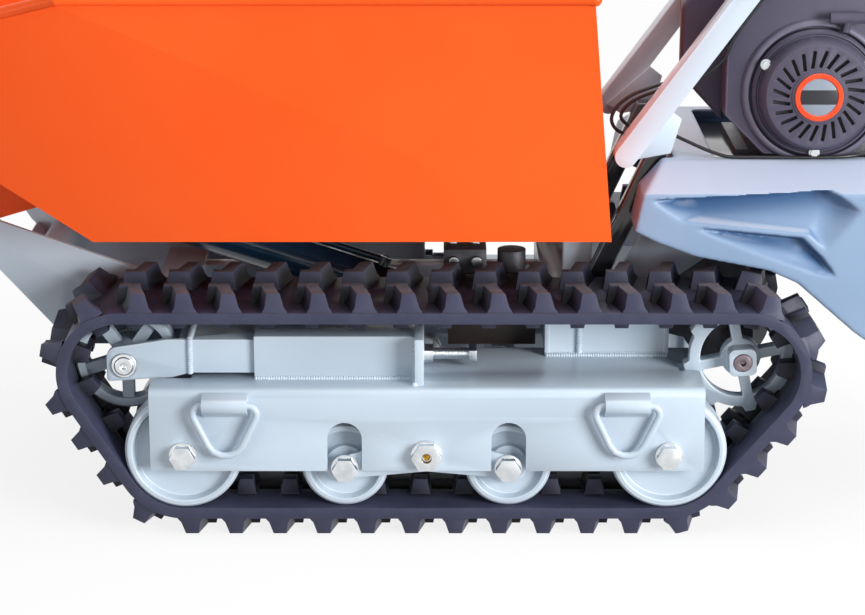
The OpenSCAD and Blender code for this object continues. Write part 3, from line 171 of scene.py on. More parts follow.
looks = {
    # powder coat on steel: fine orange peel, soft gloss, slightly greyer specks
    "powder coated steel": {"colour": "#c5d4e1", "shade": "#bbcad8", "patchMm": 260, "grainMm": 2.2,
                            "bump": 0.05, "rough": (0.3, 0.4), "coat": 0.15, "ior": 1.5,
                            "specks": {"sizeMm": 26, "from": 0.735, "colour": "#adbac6"}},
    # corners: paler, as the coat wears thin there and as a painted highlight
    "powder coat edge wear and highlight": {"colour": "#dce8f2", "shade": "#cfdce8", "patchMm": 60, "grainMm": 2.2,
                             "bump": 0.03, "rough": (0.22, 0.32), "coat": 0.2, "ior": 1.5},
    # orange enamel on pressed sheet: even, satin, with a few darker specks
    "orange enamel": {"colour": "#ff601e", "shade": "#ff5a17", "patchMm": 320, "grainMm": 3.0, "bump": 0.03,
                      "rough": (0.3, 0.42), "ior": 1.5, "gloss": 0.26,
                      "specks": {"sizeMm": 40, "from": 0.76, "colour": "#e84a12"}},
    # corners: paler orange, as the enamel is drawn thin there and as a painted highlight
    "orange enamel edge wear and highlight": {"colour": "#ff7a45", "shade": "#ff6a30", "patchMm": 50, "grainMm": 2.0,
                               "bump": 0.02, "rough": (0.24, 0.34), "ior": 1.5, "gloss": 0.3},
    # vulcanised rubber: satin, bluish black, with painted shade between the lugs and paler scuffs
    "vulcanised rubber": {"colour": "#393b50", "shade": "#424459", "patchMm": 45, "grainMm": 1.6,
                          "bump": 0.25, "rough": (0.34, 0.5), "ior": 1.52, "gloss": 0.24,
                          "creviceShade": ("#08070b", 42, 0.5),
                          "specks": {"sizeMm": 14, "from": 0.7, "colour": "#565869"}},
    # lug tops: greyer with a brown cast, partly rubbed on the ground and partly a painted sheen
    "worn rubber with painted sheen": {"colour": "#5c565c", "shade": "#45424b", "patchMm": 18, "grainMm": 1.6, "bump": 0.35,
                    "rough": (0.6, 0.78), "ior": 1.52, "gloss": 0.24,
                    "specks": {"sizeMm": 9, "from": 0.64, "colour": "#82787b"}},
    # the same rubber on corners: pale from rubbing and as a painted highlight, with painted shade in the gaps
    "rubber edge wear and highlight": {"colour": "#56586c", "shade": "#616378", "patchMm": 30, "grainMm": 1.6, "bump": 0.2,
                        "rough": (0.36, 0.5), "ior": 1.52, "gloss": 0.3, "creviceShade": ("#0e0d12", 42, 0.5)},
    # zinc plated steel: bright, a little cloudy, faint blue cast
    "zinc plated steel": {"colour": "#dfe2e4", "shade": "#c3c9cd", "patchMm": 16, "grainMm": 1.2,
                          "bump": 0.06, "rough": (0.24, 0.4), "metal": 1.0},
    # turned shaft steel, dark with a thin film of oil
    "turned steel": {"colour": "#8f8388", "shade": "#6f666b", "patchMm": 12, "grainMm": 0.9, "bump": 0.1,
                     "rough": (0.28, 0.45), "metal": 1.0},
    # dark blue cylinder enamel
    "blue enamel": {"colour": "#153c58", "shade": "#0f2f47", "patchMm": 90, "grainMm": 1.8, "bump": 0.03,
                    "rough": (0.16, 0.26), "coat": 0.5, "ior": 1.5},
    # sand cast aluminium: pitted skin, dull
    "cast aluminium": {"colour": "#5a5b60", "shade": "#47484d", "patchMm": 40, "grainMm": 1.5, "bump": 0.45,
                       "rough": (0.45, 0.62), "metal": 0.7},
    # black gloss paint: deep, mirrors the pale floor
    "black gloss paint": {"colour": "#232428", "shade": "#2c2d32", "patchMm": 70, "grainMm": 1.6,
                          "bump": 0.06, "rough": (0.14, 0.22), "coat": 0.4, "ior": 1.5},
    # painted highlight: the same paint made pale where a corner catches the light
    "black paint edge highlight": {"colour": "#7d8894", "shade": "#66707b", "patchMm": 40, "grainMm": 1.6,
                             "bump": 0.05, "rough": (0.26, 0.36), "ior": 1.5},
    # heat dulled muffler steel, straw and brown patches
    "heat dulled steel": {"colour": "#8d8479", "shade": "#5e554d", "patchMm": 34, "grainMm": 1.0,
                          "bump": 0.12, "rough": (0.38, 0.6), "metal": 1.0},
    # brown oil tank paint, satin and slightly uneven
    "brown tank paint": {"colour": "#3a2f2c", "shade": "#2b2321", "patchMm": 60, "grainMm": 1.6, "bump": 0.1,
                         "rough": (0.34, 0.48), "ior": 1.5},
    # glass filled nylon: dark violet grey, fine spark-eroded grain, with painted shade in its grooves
    "grained nylon": {"colour": "#514e5f", "shade": "#484556", "patchMm": 90, "grainMm": 0.9, "bump": 0.22,
                      "rough": (0.42, 0.55), "ior": 1.53, "gloss": 0.25, "creviceShade": ("#131118", 26, 0.5)},
    # paler nylon: on corners it is a painted highlight, and the housing lip wears it too
    "paler nylon for edges and lip": {"colour": "#686577", "shade": "#5e5b6d", "patchMm": 40, "grainMm": 0.9, "bump": 0.12,
                       "rough": (0.36, 0.46), "ior": 1.53},
    # printed ring: flat, clean orange
    "orange printed ring": {"colour": "#ee4a1c", "shade": "#e2400f", "patchMm": 20, "grainMm": 0.8,
                            "bump": 0.03, "rough": (0.28, 0.36), "ior": 1.5},
    # bare badge of the recoil cover: smooth grey plastic with a dark level band at the crank's height
    "blank badge": {"colour": "#8d97a5", "shade": "#848e9c", "patchMm": 20, "grainMm": 0.8, "bump": 0.05,
                    "rough": (0.25, 0.35), "ior": 1.5, "band": ("#24252c", 581.5, 10)},
    # rotomoulded polyethylene cowl: satin skin with a soft grain, painted shade in its hollows and painted
    # top light, paler where faces look up
    "moulded polyethylene": {"colour": "#8ca3c0", "shade": "#849cba", "patchMm": 220, "grainMm": 1.4,
                             "bump": 0.06, "rough": (0.3, 0.4), "ior": 1.51, "gloss": 0.35,
                             "creviceShade": ("#41638d", 90, 0.62), "paintedTopLight": ("#b6c0d3", 0.85)},
    # moulded grip: soft, matt and finely pebbled
    "soft grip rubber": {"colour": "#232326", "shade": "#2c2c30", "patchMm": 20, "grainMm": 0.9, "bump": 0.3,
                         "rough": (0.6, 0.75), "ior": 1.52},
    # vinyl dip on the levers: smooth satin black
    "dipped lever coat": {"colour": "#222226", "shade": "#2a2a2e", "patchMm": 25, "grainMm": 1.0,
                          "bump": 0.08, "rough": (0.36, 0.46), "ior": 1.5},
    # turned brass grease nipple: warm yellow metal
    "brass": {"colour": "#c79a3f", "shade": "#a87f31", "patchMm": 6, "grainMm": 0.7, "bump": 0.08,
              "rough": (0.25, 0.4), "metal": 1.0},
    # extruded nylon sheath: smooth and satin black
    "cable sheath": {"colour": "#1b1b1d", "shade": "#232326", "patchMm": 30, "grainMm": 0.8, "bump": 0.05,
                     "rough": (0.3, 0.42), "ior": 1.5},
    # painted weld: the powder coat pooled over ripples
    "painted weld": {"colour": "#d0deea", "shade": "#becdda", "patchMm": 9, "grainMm": 1.2, "bump": 0.12,
                     "rough": (0.26, 0.36), "coat": 0.2, "ior": 1.5},
}
finish = {name: surface(name, look) for name, look in looks.items()}
zinc = "zinc plated steel"
# record slot: face finish, edge finish (paler corners: some wear and a painted highlight)
slotFinish = {
    "paint": ("powder coated steel", "powder coat edge wear and highlight"), "cowl_plastic": ("moulded polyethylene", None),
    "track_rubber": ("vulcanised rubber", "rubber edge wear and highlight"), "zinc_steel": (zinc, None),
    "axle_steel": ("turned steel", None), "skip_paint": ("orange enamel", "orange enamel edge wear and highlight"),
    "tank_paint": ("orange enamel", None), "cylinder_paint": ("blue enamel", None),
    "cast_metal": ("cast aluminium", None), "muffler_steel": ("heat dulled steel", None),
    "unit_paint": ("brown tank paint", None), "engine_plastic": ("grained nylon", "paler nylon for edges and lip"),
    "post_paint": ("black gloss paint", "black paint edge highlight"), "grip_rubber": ("soft grip rubber", None),
    "lever_coat": ("dipped lever coat", None), "cable_sheath": ("cable sheath", None)}
for name, node in frame["nodes"].items():
    node.data.materials.clear()
    node.data.materials.append(finish[slotFinish[slotOf[name]][0]])
print("stage: finishes,", len(finish))


def addPiece(name, mesh, body, materials=()):
    for material in materials:
        mesh.materials.append(finish[material])
    piece = bpy.data.objects.new(name, mesh)
    scene.collection.objects.link(piece)
    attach(piece, body)
    return piece


def smoothBelow(mesh, degrees):
    mesh.shade_smooth()
    mesh.set_sharp_from_angle(angle=math.radians(degrees))


def settled(holder):
    depsgraph = bpy.context.evaluated_depsgraph_get()
    mesh = bpy.data.meshes.new_from_object(holder.evaluated_get(depsgraph))
    bpy.data.objects.remove(holder)
    return mesh


# pieces that repeat or follow a path are made with geometry nodes
def newTree(name, sizes):
    tree = bpy.data.node_groups.new(name, "GeometryNodeTree")
    tree.interface.new_socket("Geometry", in_out="INPUT", socket_type="NodeSocketGeometry")
    keys = {}
    for label, kind in sizes.items():
        socket = tree.interface.new_socket(label, in_out="INPUT", socket_type="NodeSocket" + kind)
        keys[label] = socket.identifier
    tree.interface.new_socket("Geometry", in_out="OUTPUT", socket_type="NodeSocketGeometry")
    return tree, keys, addNode(tree, "NodeGroupInput").outputs


def endTree(tree, geometry, material):
    whole = addNode(tree, "GeometryNodeRealizeInstances", {"Geometry": geometry})
    faced = addNode(tree, "GeometryNodeSetMaterial", {"Geometry": whole.outputs[0],
                                                      "Material": finish[material]})
    addNode(tree, "NodeGroupOutput", {"Geometry": faced.outputs[0]})


def grow(tree, keys, values, points, edges):
    mesh = bpy.data.meshes.new(tree.name)
    mesh.from_pydata(points, edges, [])
    holder = bpy.data.objects.new(tree.name, mesh)
    scene.collection.objects.link(holder)
    modifier = holder.modifiers.new(tree.name, "NODES")
    modifier.node_group = tree
    for label, value in values.items():
        modifier[keys[label]] = value
    grown = settled(holder)
    grown.shade_smooth()
    return grown


# control cables: the route's points in millimetres as in the part's source, rounded twice between them
cables = {"diameter": 5.0, "sides": 12, "smooth": 50}
routes = {
    "steer_cable": [
        (705.7, -238, 931.5), (686, -236, 928), (656, -214, 919), (598, -167, 890), (542, -166, 834),
        (418, -166, 671), (382, -155, 624), (350, -147, 602), (314, -143, 589), (282, -141, 577),
        (258, -140, 560), (248, -140, 540), (257, -138, 523), (278, -135, 517), (302, -129, 520),
        (321, -115, 511), (327, -107, 478), (348, -88, 436), (384, -64, 400), (393, -60, 380)],
    "drive_cable": [
        (704.8, -255, 955), (686, -256, 946), (658, -243, 928), (602, -178, 896), (544, -175, 838),
        (420, -175, 675), (400, -160, 629), (366, -149, 598), (330, -138, 584), (296, -130, 572),
        (272, -128, 558), (262, -127, 541), (272, -127, 529), (290, -129, 526), (312, -136, 526),
        (352, -151, 511), (398, -171, 495.5), (440, -176, 493.8), (556, -175, 493.8),
        (594, -160, 494.2), (612, -134, 487), (612, -88.8, 476.6)]}


# four-point rounding: a new point between each two, pushed out by the ones beyond them
def rounded(points):
    last = len(points) - 1
    path = []
    for i in range(last):
        around = points[i] + points[i + 1]
        path += [points[i], (9 * around - points[max(i - 1, 0)] - points[min(i + 2, last)]) / 16]
    return path + [points[last]]


tubeTree, tubeKeys, given = newTree("cableTube", {"Radius": "Float", "Sides": "Int"})
line = addNode(tubeTree, "GeometryNodeMeshToCurve", {"Mesh": given["Geometry"]})
section = addNode(tubeTree, "GeometryNodeCurvePrimitiveCircle", {"Resolution": given["Sides"],
                                                                 "Radius": given["Radius"]})
drawn = addNode(tubeTree, "GeometryNodeCurveToMesh", {"Curve": line.outputs[0],
                                                      "Profile Curve": section.outputs[0], "Fill Caps": True})
endTree(tubeTree, drawn.outputs[0], "cable sheath")
for name, route in routes.items():
    path = rounded(rounded([Vector(p) * mm for p in route]))
    sizes = {"Radius": cables["diameter"] / 2 * mm, "Sides": cables["sides"]}
    grown = grow(tubeTree, tubeKeys, sizes, path, [(i, i + 1) for i in range(len(path) - 1)])
    grown.set_sharp_from_angle(angle=math.radians(cables["smooth"]))
    cable = addPiece(name, grown, "chassis")
    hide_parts("control_cables")
    length = sum((b - a).length for a, b in zip(path, path[1:]))
    print("stage:", name, round(length, 3), "m long")


# sizes in metres; each lamp with its watts, place and size
studio = {"room": 0.34, "floor": "#9a9a9a", "glow": 0.84, "half": 9, "fade": (1.4, 5.0), "aim": (0, 0, 0.4),
          "lamps": {"key": (295, (3.8, -3.5, 1.3), 2.2), "top": (50, (0.2, -0.7, 3.3), 2.6),
                    "fill": (15, (-3.0, -2.6, 0.5), 0.9), "rear": (48, (0.6, 2.6, 3.0), 2.6)}}


# the white background shows to the camera, in metal and through glass, and doesn't light the object
def seenRays(tree):
    path = addNode(tree, "ShaderNodeLightPath").outputs
    share = path["Is Camera Ray"]
    for kind in ("Is Glossy Ray", "Is Transmission Ray"):
        share = addNode(tree, "ShaderNodeMath", {0: share, 1: path[kind]}, operation="MAXIMUM").outputs[0]
    return share


def makeStudio():
    world = bpy.data.worlds.new("studio")
    world.use_nodes = True
    tree = world.node_tree
    tree.nodes.clear()
    strength = addNode(tree, "ShaderNodeMapRange", {"Value": seenRays(tree), "To Min": studio["room"],
                                                    "To Max": 1.0})
    sky = addNode(tree, "ShaderNodeBackground", {"Color": white, "Strength": strength.outputs[0]})
    addNode(tree, "ShaderNodeOutputWorld", {"Surface": sky.outputs[0]})
    scene.world = world

    # the paper glows, more so with distance, until it runs out into the white background
    half = studio["half"]
    floorMesh = bpy.data.meshes.new("floor")
    floorMesh.from_pydata([(-half, -half, 0), (half, -half, 0), (half, half, 0), (-half, half, 0)], [],
                          [(0, 1, 2, 3)])
    floor = bpy.data.objects.new("floor", floorMesh)
    scene.collection.objects.link(floor)
    material, tree = newMaterial("pale paper floor")
    place = addNode(tree, "ShaderNodeTexCoord").outputs["Object"]
    away = addNode(tree, "ShaderNodeVectorMath", {0: place}, operation="LENGTH").outputs["Value"]
    fade = addNode(tree, "ShaderNodeMapRange", {"Value": away, "From Min": studio["fade"][0],
                                                "From Max": studio["fade"][1], "To Min": studio["glow"],
                                                "To Max": 1.0})
    direct = seenRays(tree)
    seen = addNode(tree, "ShaderNodeMath", {0: direct, 1: fade.outputs[0]}, operation="MULTIPLY")
    tone = addNode(tree, "ShaderNodeMix", {0: direct, 6: srgb(studio["floor"]), 7: white}, data_type="RGBA")
    paper = addNode(tree, "ShaderNodeBsdfDiffuse", {"Color": tone.outputs[2]})
    glow = addNode(tree, "ShaderNodeEmission", {"Color": white, "Strength": 1.0})
    both = addNode(tree, "ShaderNodeMixShader", {0: seen.outputs[0], 1: paper.outputs[0],
                                                 2: glow.outputs[0]})
    addNode(tree, "ShaderNodeOutputMaterial", {"Surface": both.outputs[0]})
    floorMesh.materials.append(material)

    for name, (watts, place, size) in studio["lamps"].items():
        lamp = bpy.data.lights.new(name, "AREA")
        lamp.energy = watts
        lamp.size = size
        holder = bpy.data.objects.new(name, lamp)
        holder.location = place
        toward = Vector(studio["aim"]) - Vector(place)
        holder.rotation_euler = toward.to_track_quat("-Z", "Y").to_euler()
        scene.collection.objects.link(holder)


makeStudio()
print("stage: camera, floor and lamps")


# points closer than this many millimetres are one, and faces that turn by fewer degrees are one
cleaning = {"merge": 0.02, "flat": 0.8}


# a node's own shape, merged and with its flat faces joined
def nodeCopy(node):
    mesh = bpy.data.meshes.new(node + "Dressed")
    shape = bmesh.new()
    shape.from_mesh(frame["nodes"][node].data)
    bmesh.ops.remove_doubles(shape, verts=shape.verts, dist=cleaning["merge"] * mm)
    bmesh.ops.dissolve_limit(shape, angle_limit=math.radians(cleaning["flat"]), verts=shape.verts,
                             edges=shape.edges)
    for f in shape.faces:
        f.material_index = 0
    shape.to_mesh(mesh)
    shape.free()
    mesh.materials.clear()
    for name in slotFinish[slotOf[node]]:
        if name:
            mesh.materials.append(finish[name])
    holder = bpy.data.objects.new(node + "Shape", mesh)
    scene.collection.objects.link(holder)
    return holder


# zones give other finishes to faces by where their middles lie, in millimetres
def standFor(node, final, smooth, zones=()):
    smoothBelow(final, smooth)
    middles = numpy.array([tuple(f.center) for f in final.polygons]) / mm
    for name, test in zones:
        final.materials.append(finish[name])
        for index in numpy.flatnonzero(test(middles[:, 0], middles[:, 1], middles[:, 2])):
            final.polygons[index].material_index = len(final.materials) - 1
    piece = addPiece(node + "_dressed", final, bodyOf[node])
    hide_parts(node)
    return piece


# a node with its corners rounded, and with the edge finish of its slot on them, a painted highlight with some
# wear
def dressNode(node, widthMm, segments=2, limit=32, smooth=38, zones=()):
    holder = nodeCopy(node)
    if widthMm:
        bevel = holder.modifiers.new("rounded edges", "BEVEL")
        bevel.width = widthMm * mm
        bevel.segments = segments
        bevel.limit_method = "ANGLE"
        bevel.angle_limit = math.radians(limit)
        bevel.use_clamp_overlap = True
        bevel.loop_slide = True
        # the rounded corners take the slot's paler edge finish, a painted highlight
        if slotFinish[slotOf[node]][1]:
            bevel.material = 1
    return standFor(node, settled(holder), smooth, zones)


# The hollows in the cowl's sides undercut the shoulder and the ridge, as a pulled mould leaves them.
# Corners of each mouth, with the width over which the edge that starts there fades, then its upper and lower
# lines and the depths at them.
hollows = [{"mouth": [(290, 450, 5), (546, 462, 26), (588, 432, 44), (540, 376, 12), (512, 402, 8),
                      (330, 420, 40)],
            "upper": [(290, 450), (546, 462)], "lower": [(330, 420), (512, 402), (540, 376)],
            "depths": (35, 6)},
           {"mouth": [(346, 413, 7), (504, 397, 7), (532, 370, 7), (556, 338, 24), (520, 346, 24),
                      (400, 388, 24)],
            "upper": [(346, 413), (504, 397), (532, 370), (556, 338)], "lower": [(400, 388), (520, 346)],
            "depths": (23, 3)}]
# skin and behind tell the outer face of the wall from its inner one, least is the smallest pull that counts
cowlSide = {"half": 245, "skin": 22, "behind": 14, "wall": 4, "least": 0.001, "relax": 3}
cowlSkin = {"voxelMm": 2.6, "rounds": 10, "keep": 0.6, "smooth": 60}


def segmentGap(points, a, b):
    a, d = numpy.array(a[:2], float), numpy.array(b[:2], float) - numpy.array(a[:2], float)
    share = numpy.clip(((points - a) @ d) / max(d @ d, tiny), 0, 1)
    return numpy.hypot(*(points - a - share[:, None] * d).T)


def lineGap(points, line):
    nearest = segmentGap(points, line[0], line[1])
    for a, b in zip(line[1:], line[2:]):
        nearest = numpy.minimum(nearest, segmentGap(points, a, b))
    return nearest


# 1 well inside a mouth, fading smoothly to 0 at its edges
def mouthMask(points, mouth):
    mask = numpy.ones(len(points))
    inside = numpy.zeros(len(points), bool)
    for a, b in zip(mouth, mouth[1:] + mouth[:1]):
        mask = numpy.minimum(mask, segmentGap(points, a, b) / a[2])
        rise = b[1] - a[1]
        crosses = (a[1] > points[:, 1]) != (b[1] > points[:, 1])
        inside ^= crosses & (points[:, 0] < (b[0] - a[0]) * (points[:, 1] - a[1]) / rise + a[0])
    return numpy.where(inside, mask * mask * (3 - 2 * mask), 0)


def undercut(mesh):
    place = numpy.array([tuple(v.co) for v in mesh.vertices]) / mm
    flat, depth = place[:, [0, 2]], cowlSide["half"] - abs(place[:, 1])
    outer = depth < cowlSide["skin"]
    behind = ~outer & (depth < cowlSide["skin"] + cowlSide["behind"])
    moved = depth.copy()
    for hollow in hollows:
        mask = mouthMask(flat, hollow["mouth"])
        low, high = lineGap(flat, hollow["lower"]), lineGap(flat, hollow["upper"])
        top, foot = hollow["depths"]
        target = foot + (top - foot) * low / (low + high + tiny)
        moved = numpy.where(outer, moved + mask * (target - depth), moved)
        moved = numpy.where(behind, numpy.maximum(moved, mask * (target + cowlSide["wall"])), moved)
    pulled = numpy.flatnonzero(abs(moved - depth) > cowlSide["least"])
    for index in pulled:
        point = mesh.vertices[index].co
        point.y = math.copysign((cowlSide["half"] - moved[index]) * mm, point.y)
    shape = bmesh.new()
    shape.from_mesh(mesh)
    shape.verts.ensure_lookup_table()
    near = [shape.verts[i] for i in pulled]
    for _ in range(cowlSide["relax"]):
        bmesh.ops.smooth_vert(shape, verts=near, factor=0.5, use_axis_x=True, use_axis_y=True,
                              use_axis_z=True)
    shape.to_mesh(mesh)
    shape.free()


# a moulded shell: an even skin over the node's shape, with its corners relaxed and its hollows pulled in
def mouldNode(node, voxelMm, rounds, keep, smooth):
    holder = nodeCopy(node)
    skin = holder.modifiers.new("even skin", "REMESH")
    skin.mode = "VOXEL"
    skin.voxel_size = voxelMm * mm
    relaxed = holder.modifiers.new("relaxed corners", "SMOOTH")
    relaxed.factor = 0.5
    relaxed.iterations = rounds
    fewer = holder.modifiers.new("fewer faces", "DECIMATE")
    fewer.ratio = keep
    final = settled(holder)
    undercut(final)
    return standFor(node, final, smooth)


# other finishes on parts of a node, in millimetres: axes and radius of bolts with their distance from a
# track's middle, where the nut plate of the tension box starts, and how deep the worn, sheen-painted lug tops
# go
zoneSizes = {"rollers": [(-119, 99.6), (103, 99.6)], "idler": [(-420, 231)], "radius": 19,
             "rollerFrom": 90.2, "idlerFrom": 45.7, "plateFrom": -11.5, "worn": 2.2}


def boltEnds(axes, fromMiddle):
    def test(x, y, z):
        close = numpy.zeros(len(x), bool)
        for axisX, axisZ in axes:
            close |= numpy.hypot(x - axisX, z - axisZ) < zoneSizes["radius"]
        return close & (abs(abs(y) - trackMid) > fromMiddle)
    return test


# worn tops of the lugs, paler also as a painted sheen: the faces that lie on the outline of the whole loop
def lugTops(side):
    source = frame["nodes"][f"track_{side}"].data
    flat = [Vector((v.co.x, v.co.z)) for v in source.vertices]
    ring = [numpy.array(tuple(flat[i])) / mm for i in geometry.convex_hull_2d(flat)]
    return lambda x, y, z: lineGap(numpy.stack([x, z], axis=1), ring + ring[:1]) < zoneSizes["worn"]


# edge rounding in millimetres of the nodes that stand on both sides
dressed = {"track_beam": 1.6, "tension_box": 1.4, "yoke": 1.4, "idler": 1.2, "sprocket": 1.6,
           "front_roller": 1.0, "rear_roller": 1.0, "bogie": 0.9, "bogie_roller_a": 1.0,
           "bogie_roller_b": 1.0, "tension_bolt": 0.6, "axle": 0.8, "track": 1.8}
zincZones = {"bogie": boltEnds(zoneSizes["rollers"], zoneSizes["rollerFrom"]),
             "yoke": boltEnds(zoneSizes["idler"], zoneSizes["idlerFrom"]),
             "tension_box": lambda x, y, z: x > zoneSizes["plateFrom"]}
for kind, width in dressed.items():
    for side in sides:
        zones = [(zinc, zincZones[kind])] if kind in zincZones else []
        # the lug tops take the worn finish, paler partly as a painted sheen
        if kind == "track":
            zones = [("worn rubber with painted sheen", lugTops(side))]
        dressNode(f"{kind}_{side}", width, zones=zones)
# edge rounding and segments of the other nodes
single = {"main_frame": (1.6, 2), "snout": (1.8, 2), "skip": (2.5, 3), "skip_brackets": (1.2, 2),
          "gearbox": (2.5, 2), "engine_block": (1.5, 2), "fan_shroud": (5.0, 3), "recoil_cover": (0.9, 2),
          "fuel_tank": (5.0, 3), "tank_cap": (1.0, 2), "muffler": (2.0, 2), "air_cleaner": (4.0, 3),
          "lower_posts": (2.0, 2), "handle_frame": (1.4, 2), "cylinder_barrel": (1.2, 2),
          "cylinder_rod": (0.8, 2), "axle_bolts": (0.7, 2), "tip_pins": (0.8, 2)}
for node, (width, segments) in single.items():
    dressNode(node, width, segments)
# painted shade: the engine deck on top of the rear frame is made black, dark as the shade seen through the
# cowl's opening
deck = {"thick": 8.5, "round": 1.4}
deckFoot = boxMm("rear_frame")[1][2] - deck["thick"]
dressNode("rear_frame", deck["round"], zones=[("black gloss paint", lambda x, y, z: z > deckFoot)])
# the valve on the oil tank is cast, with zinc caps and ports
unit = {"round": 1.8, "valve": 50, "above": 1, "caps": 34.5, "ports": 3.8}
unitLow, unitHigh = boxMm("hydraulic_unit")
tankTop = unitHigh[2] - unit["valve"]
dressNode("hydraulic_unit", unit["round"], zones=[
    ("cast aluminium", lambda x, y, z: z > tankTop + unit["above"]),
    (zinc, lambda x, y, z: (z > tankTop + unit["caps"]) | (y < unitLow[1] + unit["ports"]))])
mouldNode("cowl", **cowlSkin)
# round bars and grips have no corners to break
for node in ("ring_front_left", "ring_front_right", "ring_rear_left", "ring_rear_right", "grips",
             "starter_grip", "steer_lever_left", "steer_lever_right", "drive_lever", "throttle_lever",
             "gear_lever", "tip_lever"):
    dressNode(node, 0, smooth=50)
print("stage: dressed nodes")


# weld: flattened ripples laid close together along a seam
weld = {"ripple": 3.4, "bead": 4.4, "flat": (0.62, 1.0, 1.0)}
weldTree, weldKeys, given = newTree("weldSeam", {"Ripple spacing": "Float", "Bead radius": "Float"})
seam = addNode(weldTree, "GeometryNodeMeshToCurve", {"Mesh": given["Geometry"]})
steps = addNode(weldTree, "GeometryNodeResampleCurve", {"Curve": seam.outputs[0],
                                                       "Length": given["Ripple spacing"]}, mode="LENGTH")
ripple = addNode(weldTree, "GeometryNodeMeshUVSphere", {"Segments": 10, "Rings": 6,
                                                       "Radius": given["Bead radius"]})
along = addNode(weldTree, "GeometryNodeInputTangent")
facing = addNode(weldTree, "FunctionNodeAlignRotationToVector", {"Vector": along.outputs[0]}, axis="X")
laid = addNode(weldTree, "GeometryNodeInstanceOnPoints", {"Points": steps.outputs[0],
                                                         "Instance": ripple.outputs[0],
                                                         "Rotation": facing.outputs[0],
                                                         "Scale": weld["flat"]})
endTree(weldTree, laid.outputs[0], "painted weld")


def weldPiece(name, body, seams):
    points, edges = [], []
    for line in seams:
        first = len(points)
        points += [tuple(c * mm for c in p) for p in line]
        edges += [(first + i, first + i + 1) for i in range(len(line) - 1)]
    sizes = {"Ripple spacing": weld["ripple"] * mm, "Bead radius": weld["bead"] * mm}
    addPiece(name, grow(weldTree, weldKeys, sizes, points, edges), body)


# the tension box is welded along its foot on both sides, across its seat plate and up its outer corner there
boxSeam = {"half": 52, "start": 2, "seat": 25, "outer": 82, "inner": 50, "from": 2, "to": 58}
# the yoke's tube is welded over its top and down both sides
yokeSeam = {"x": -330, "half": 45.6, "low": 221, "high": 267}
for side, out in sides.items():
    boxLow, boxHigh = boxMm(f"tension_box_{side}")
    middle = out * trackMid
    outer, inner = middle + out * boxSeam["half"], middle - out * boxSeam["half"]
    startX, seatX, beamTop = boxLow[0] + boxSeam["start"], boxHigh[0] - boxSeam["seat"], boxLow[2]
    weldPiece(f"box_weld_{side}", "chassis", [
        [(startX, outer, beamTop), (seatX, outer, beamTop)],
        [(startX, inner, beamTop), (seatX, inner, beamTop)],
        [(seatX, middle + out * boxSeam["outer"], beamTop),
         (seatX, middle - out * boxSeam["inner"], beamTop)],
        [(seatX, outer, beamTop + boxSeam["from"]), (seatX, outer, beamTop + boxSeam["to"])]])
    yokeX, low, high = yokeSeam["x"], yokeSeam["low"], yokeSeam["high"]
    outer, inner = middle + out * yokeSeam["half"], middle - out * yokeSeam["half"]
    weldPiece(f"yoke_weld_{side}", f"yoke_{side}", [
        [(yokeX, outer, low), (yokeX, outer, high), (yokeX, inner, high), (yokeX, inner, low)]])
# the cross tube is welded to the beams along its foot, and its end cap down the face
crossTube = {"front": 160, "rear": 327, "cap": 205, "end": 199.6, "low": 215, "capLow": 220, "high": 291}
for side, out in sides.items():
    end = out * crossTube["end"]
    weldPiece(f"cross_weld_{side}", "chassis", [
        [(crossTube["front"], end, crossTube["low"]), (crossTube["rear"], end, crossTube["low"])],
        [(crossTube["cap"], end, crossTube["capLow"]), (crossTube["cap"], end, crossTube["high"])]])
print("stage: welds")

# thread on the tension bolts, rolled from just behind the nut to the head
thread = {"from": 2, "to": 49, "pitch": 2.0, "radius": 7.95, "ridge": 0.62, "height": 234}
threadTree, threadKeys, given = newTree("boltThread", {"Turns": "Float", "Radius": "Float", "Length": "Float",
                                                      "Ridge": "Float", "Place": "Vector"})
helix = addNode(threadTree, "GeometryNodeCurveSpiral", {"Resolution": 20, "Rotations": given["Turns"],
                                                        "Start Radius": given["Radius"],
                                                        "End Radius": given["Radius"],
                                                        "Height": given["Length"]})
ridge = addNode(threadTree, "GeometryNodeCurvePrimitiveCircle", {"Resolution": 4, "Radius": given["Ridge"]})
wound = addNode(threadTree, "GeometryNodeCurveToMesh", {"Curve": helix.outputs[0],
                                                        "Profile Curve": ridge.outputs[0], "Fill Caps": True})
moved = addNode(threadTree, "GeometryNodeTransform", {"Geometry": wound.outputs[0],
                                                      "Translation": given["Place"],
                                                      "Rotation": (0, math.pi / 2, 0)})
endTree(threadTree, moved.outputs[0], zinc)
for side, out in sides.items():
    length = thread["to"] - thread["from"]
    sizes = {"Turns": length / thread["pitch"], "Radius": thread["radius"] * mm, "Length": length * mm,
             "Ridge": thread["ridge"] * mm,
             "Place": (thread["from"] * mm, out * trackMid * mm, thread["height"] * mm)}
    grown = grow(threadTree, threadKeys, sizes, [(0, 0, 0)], [])
    addPiece(f"bolt_thread_{side}", grown, f"tension_bolt_{side}")
print("stage: bolt threads")

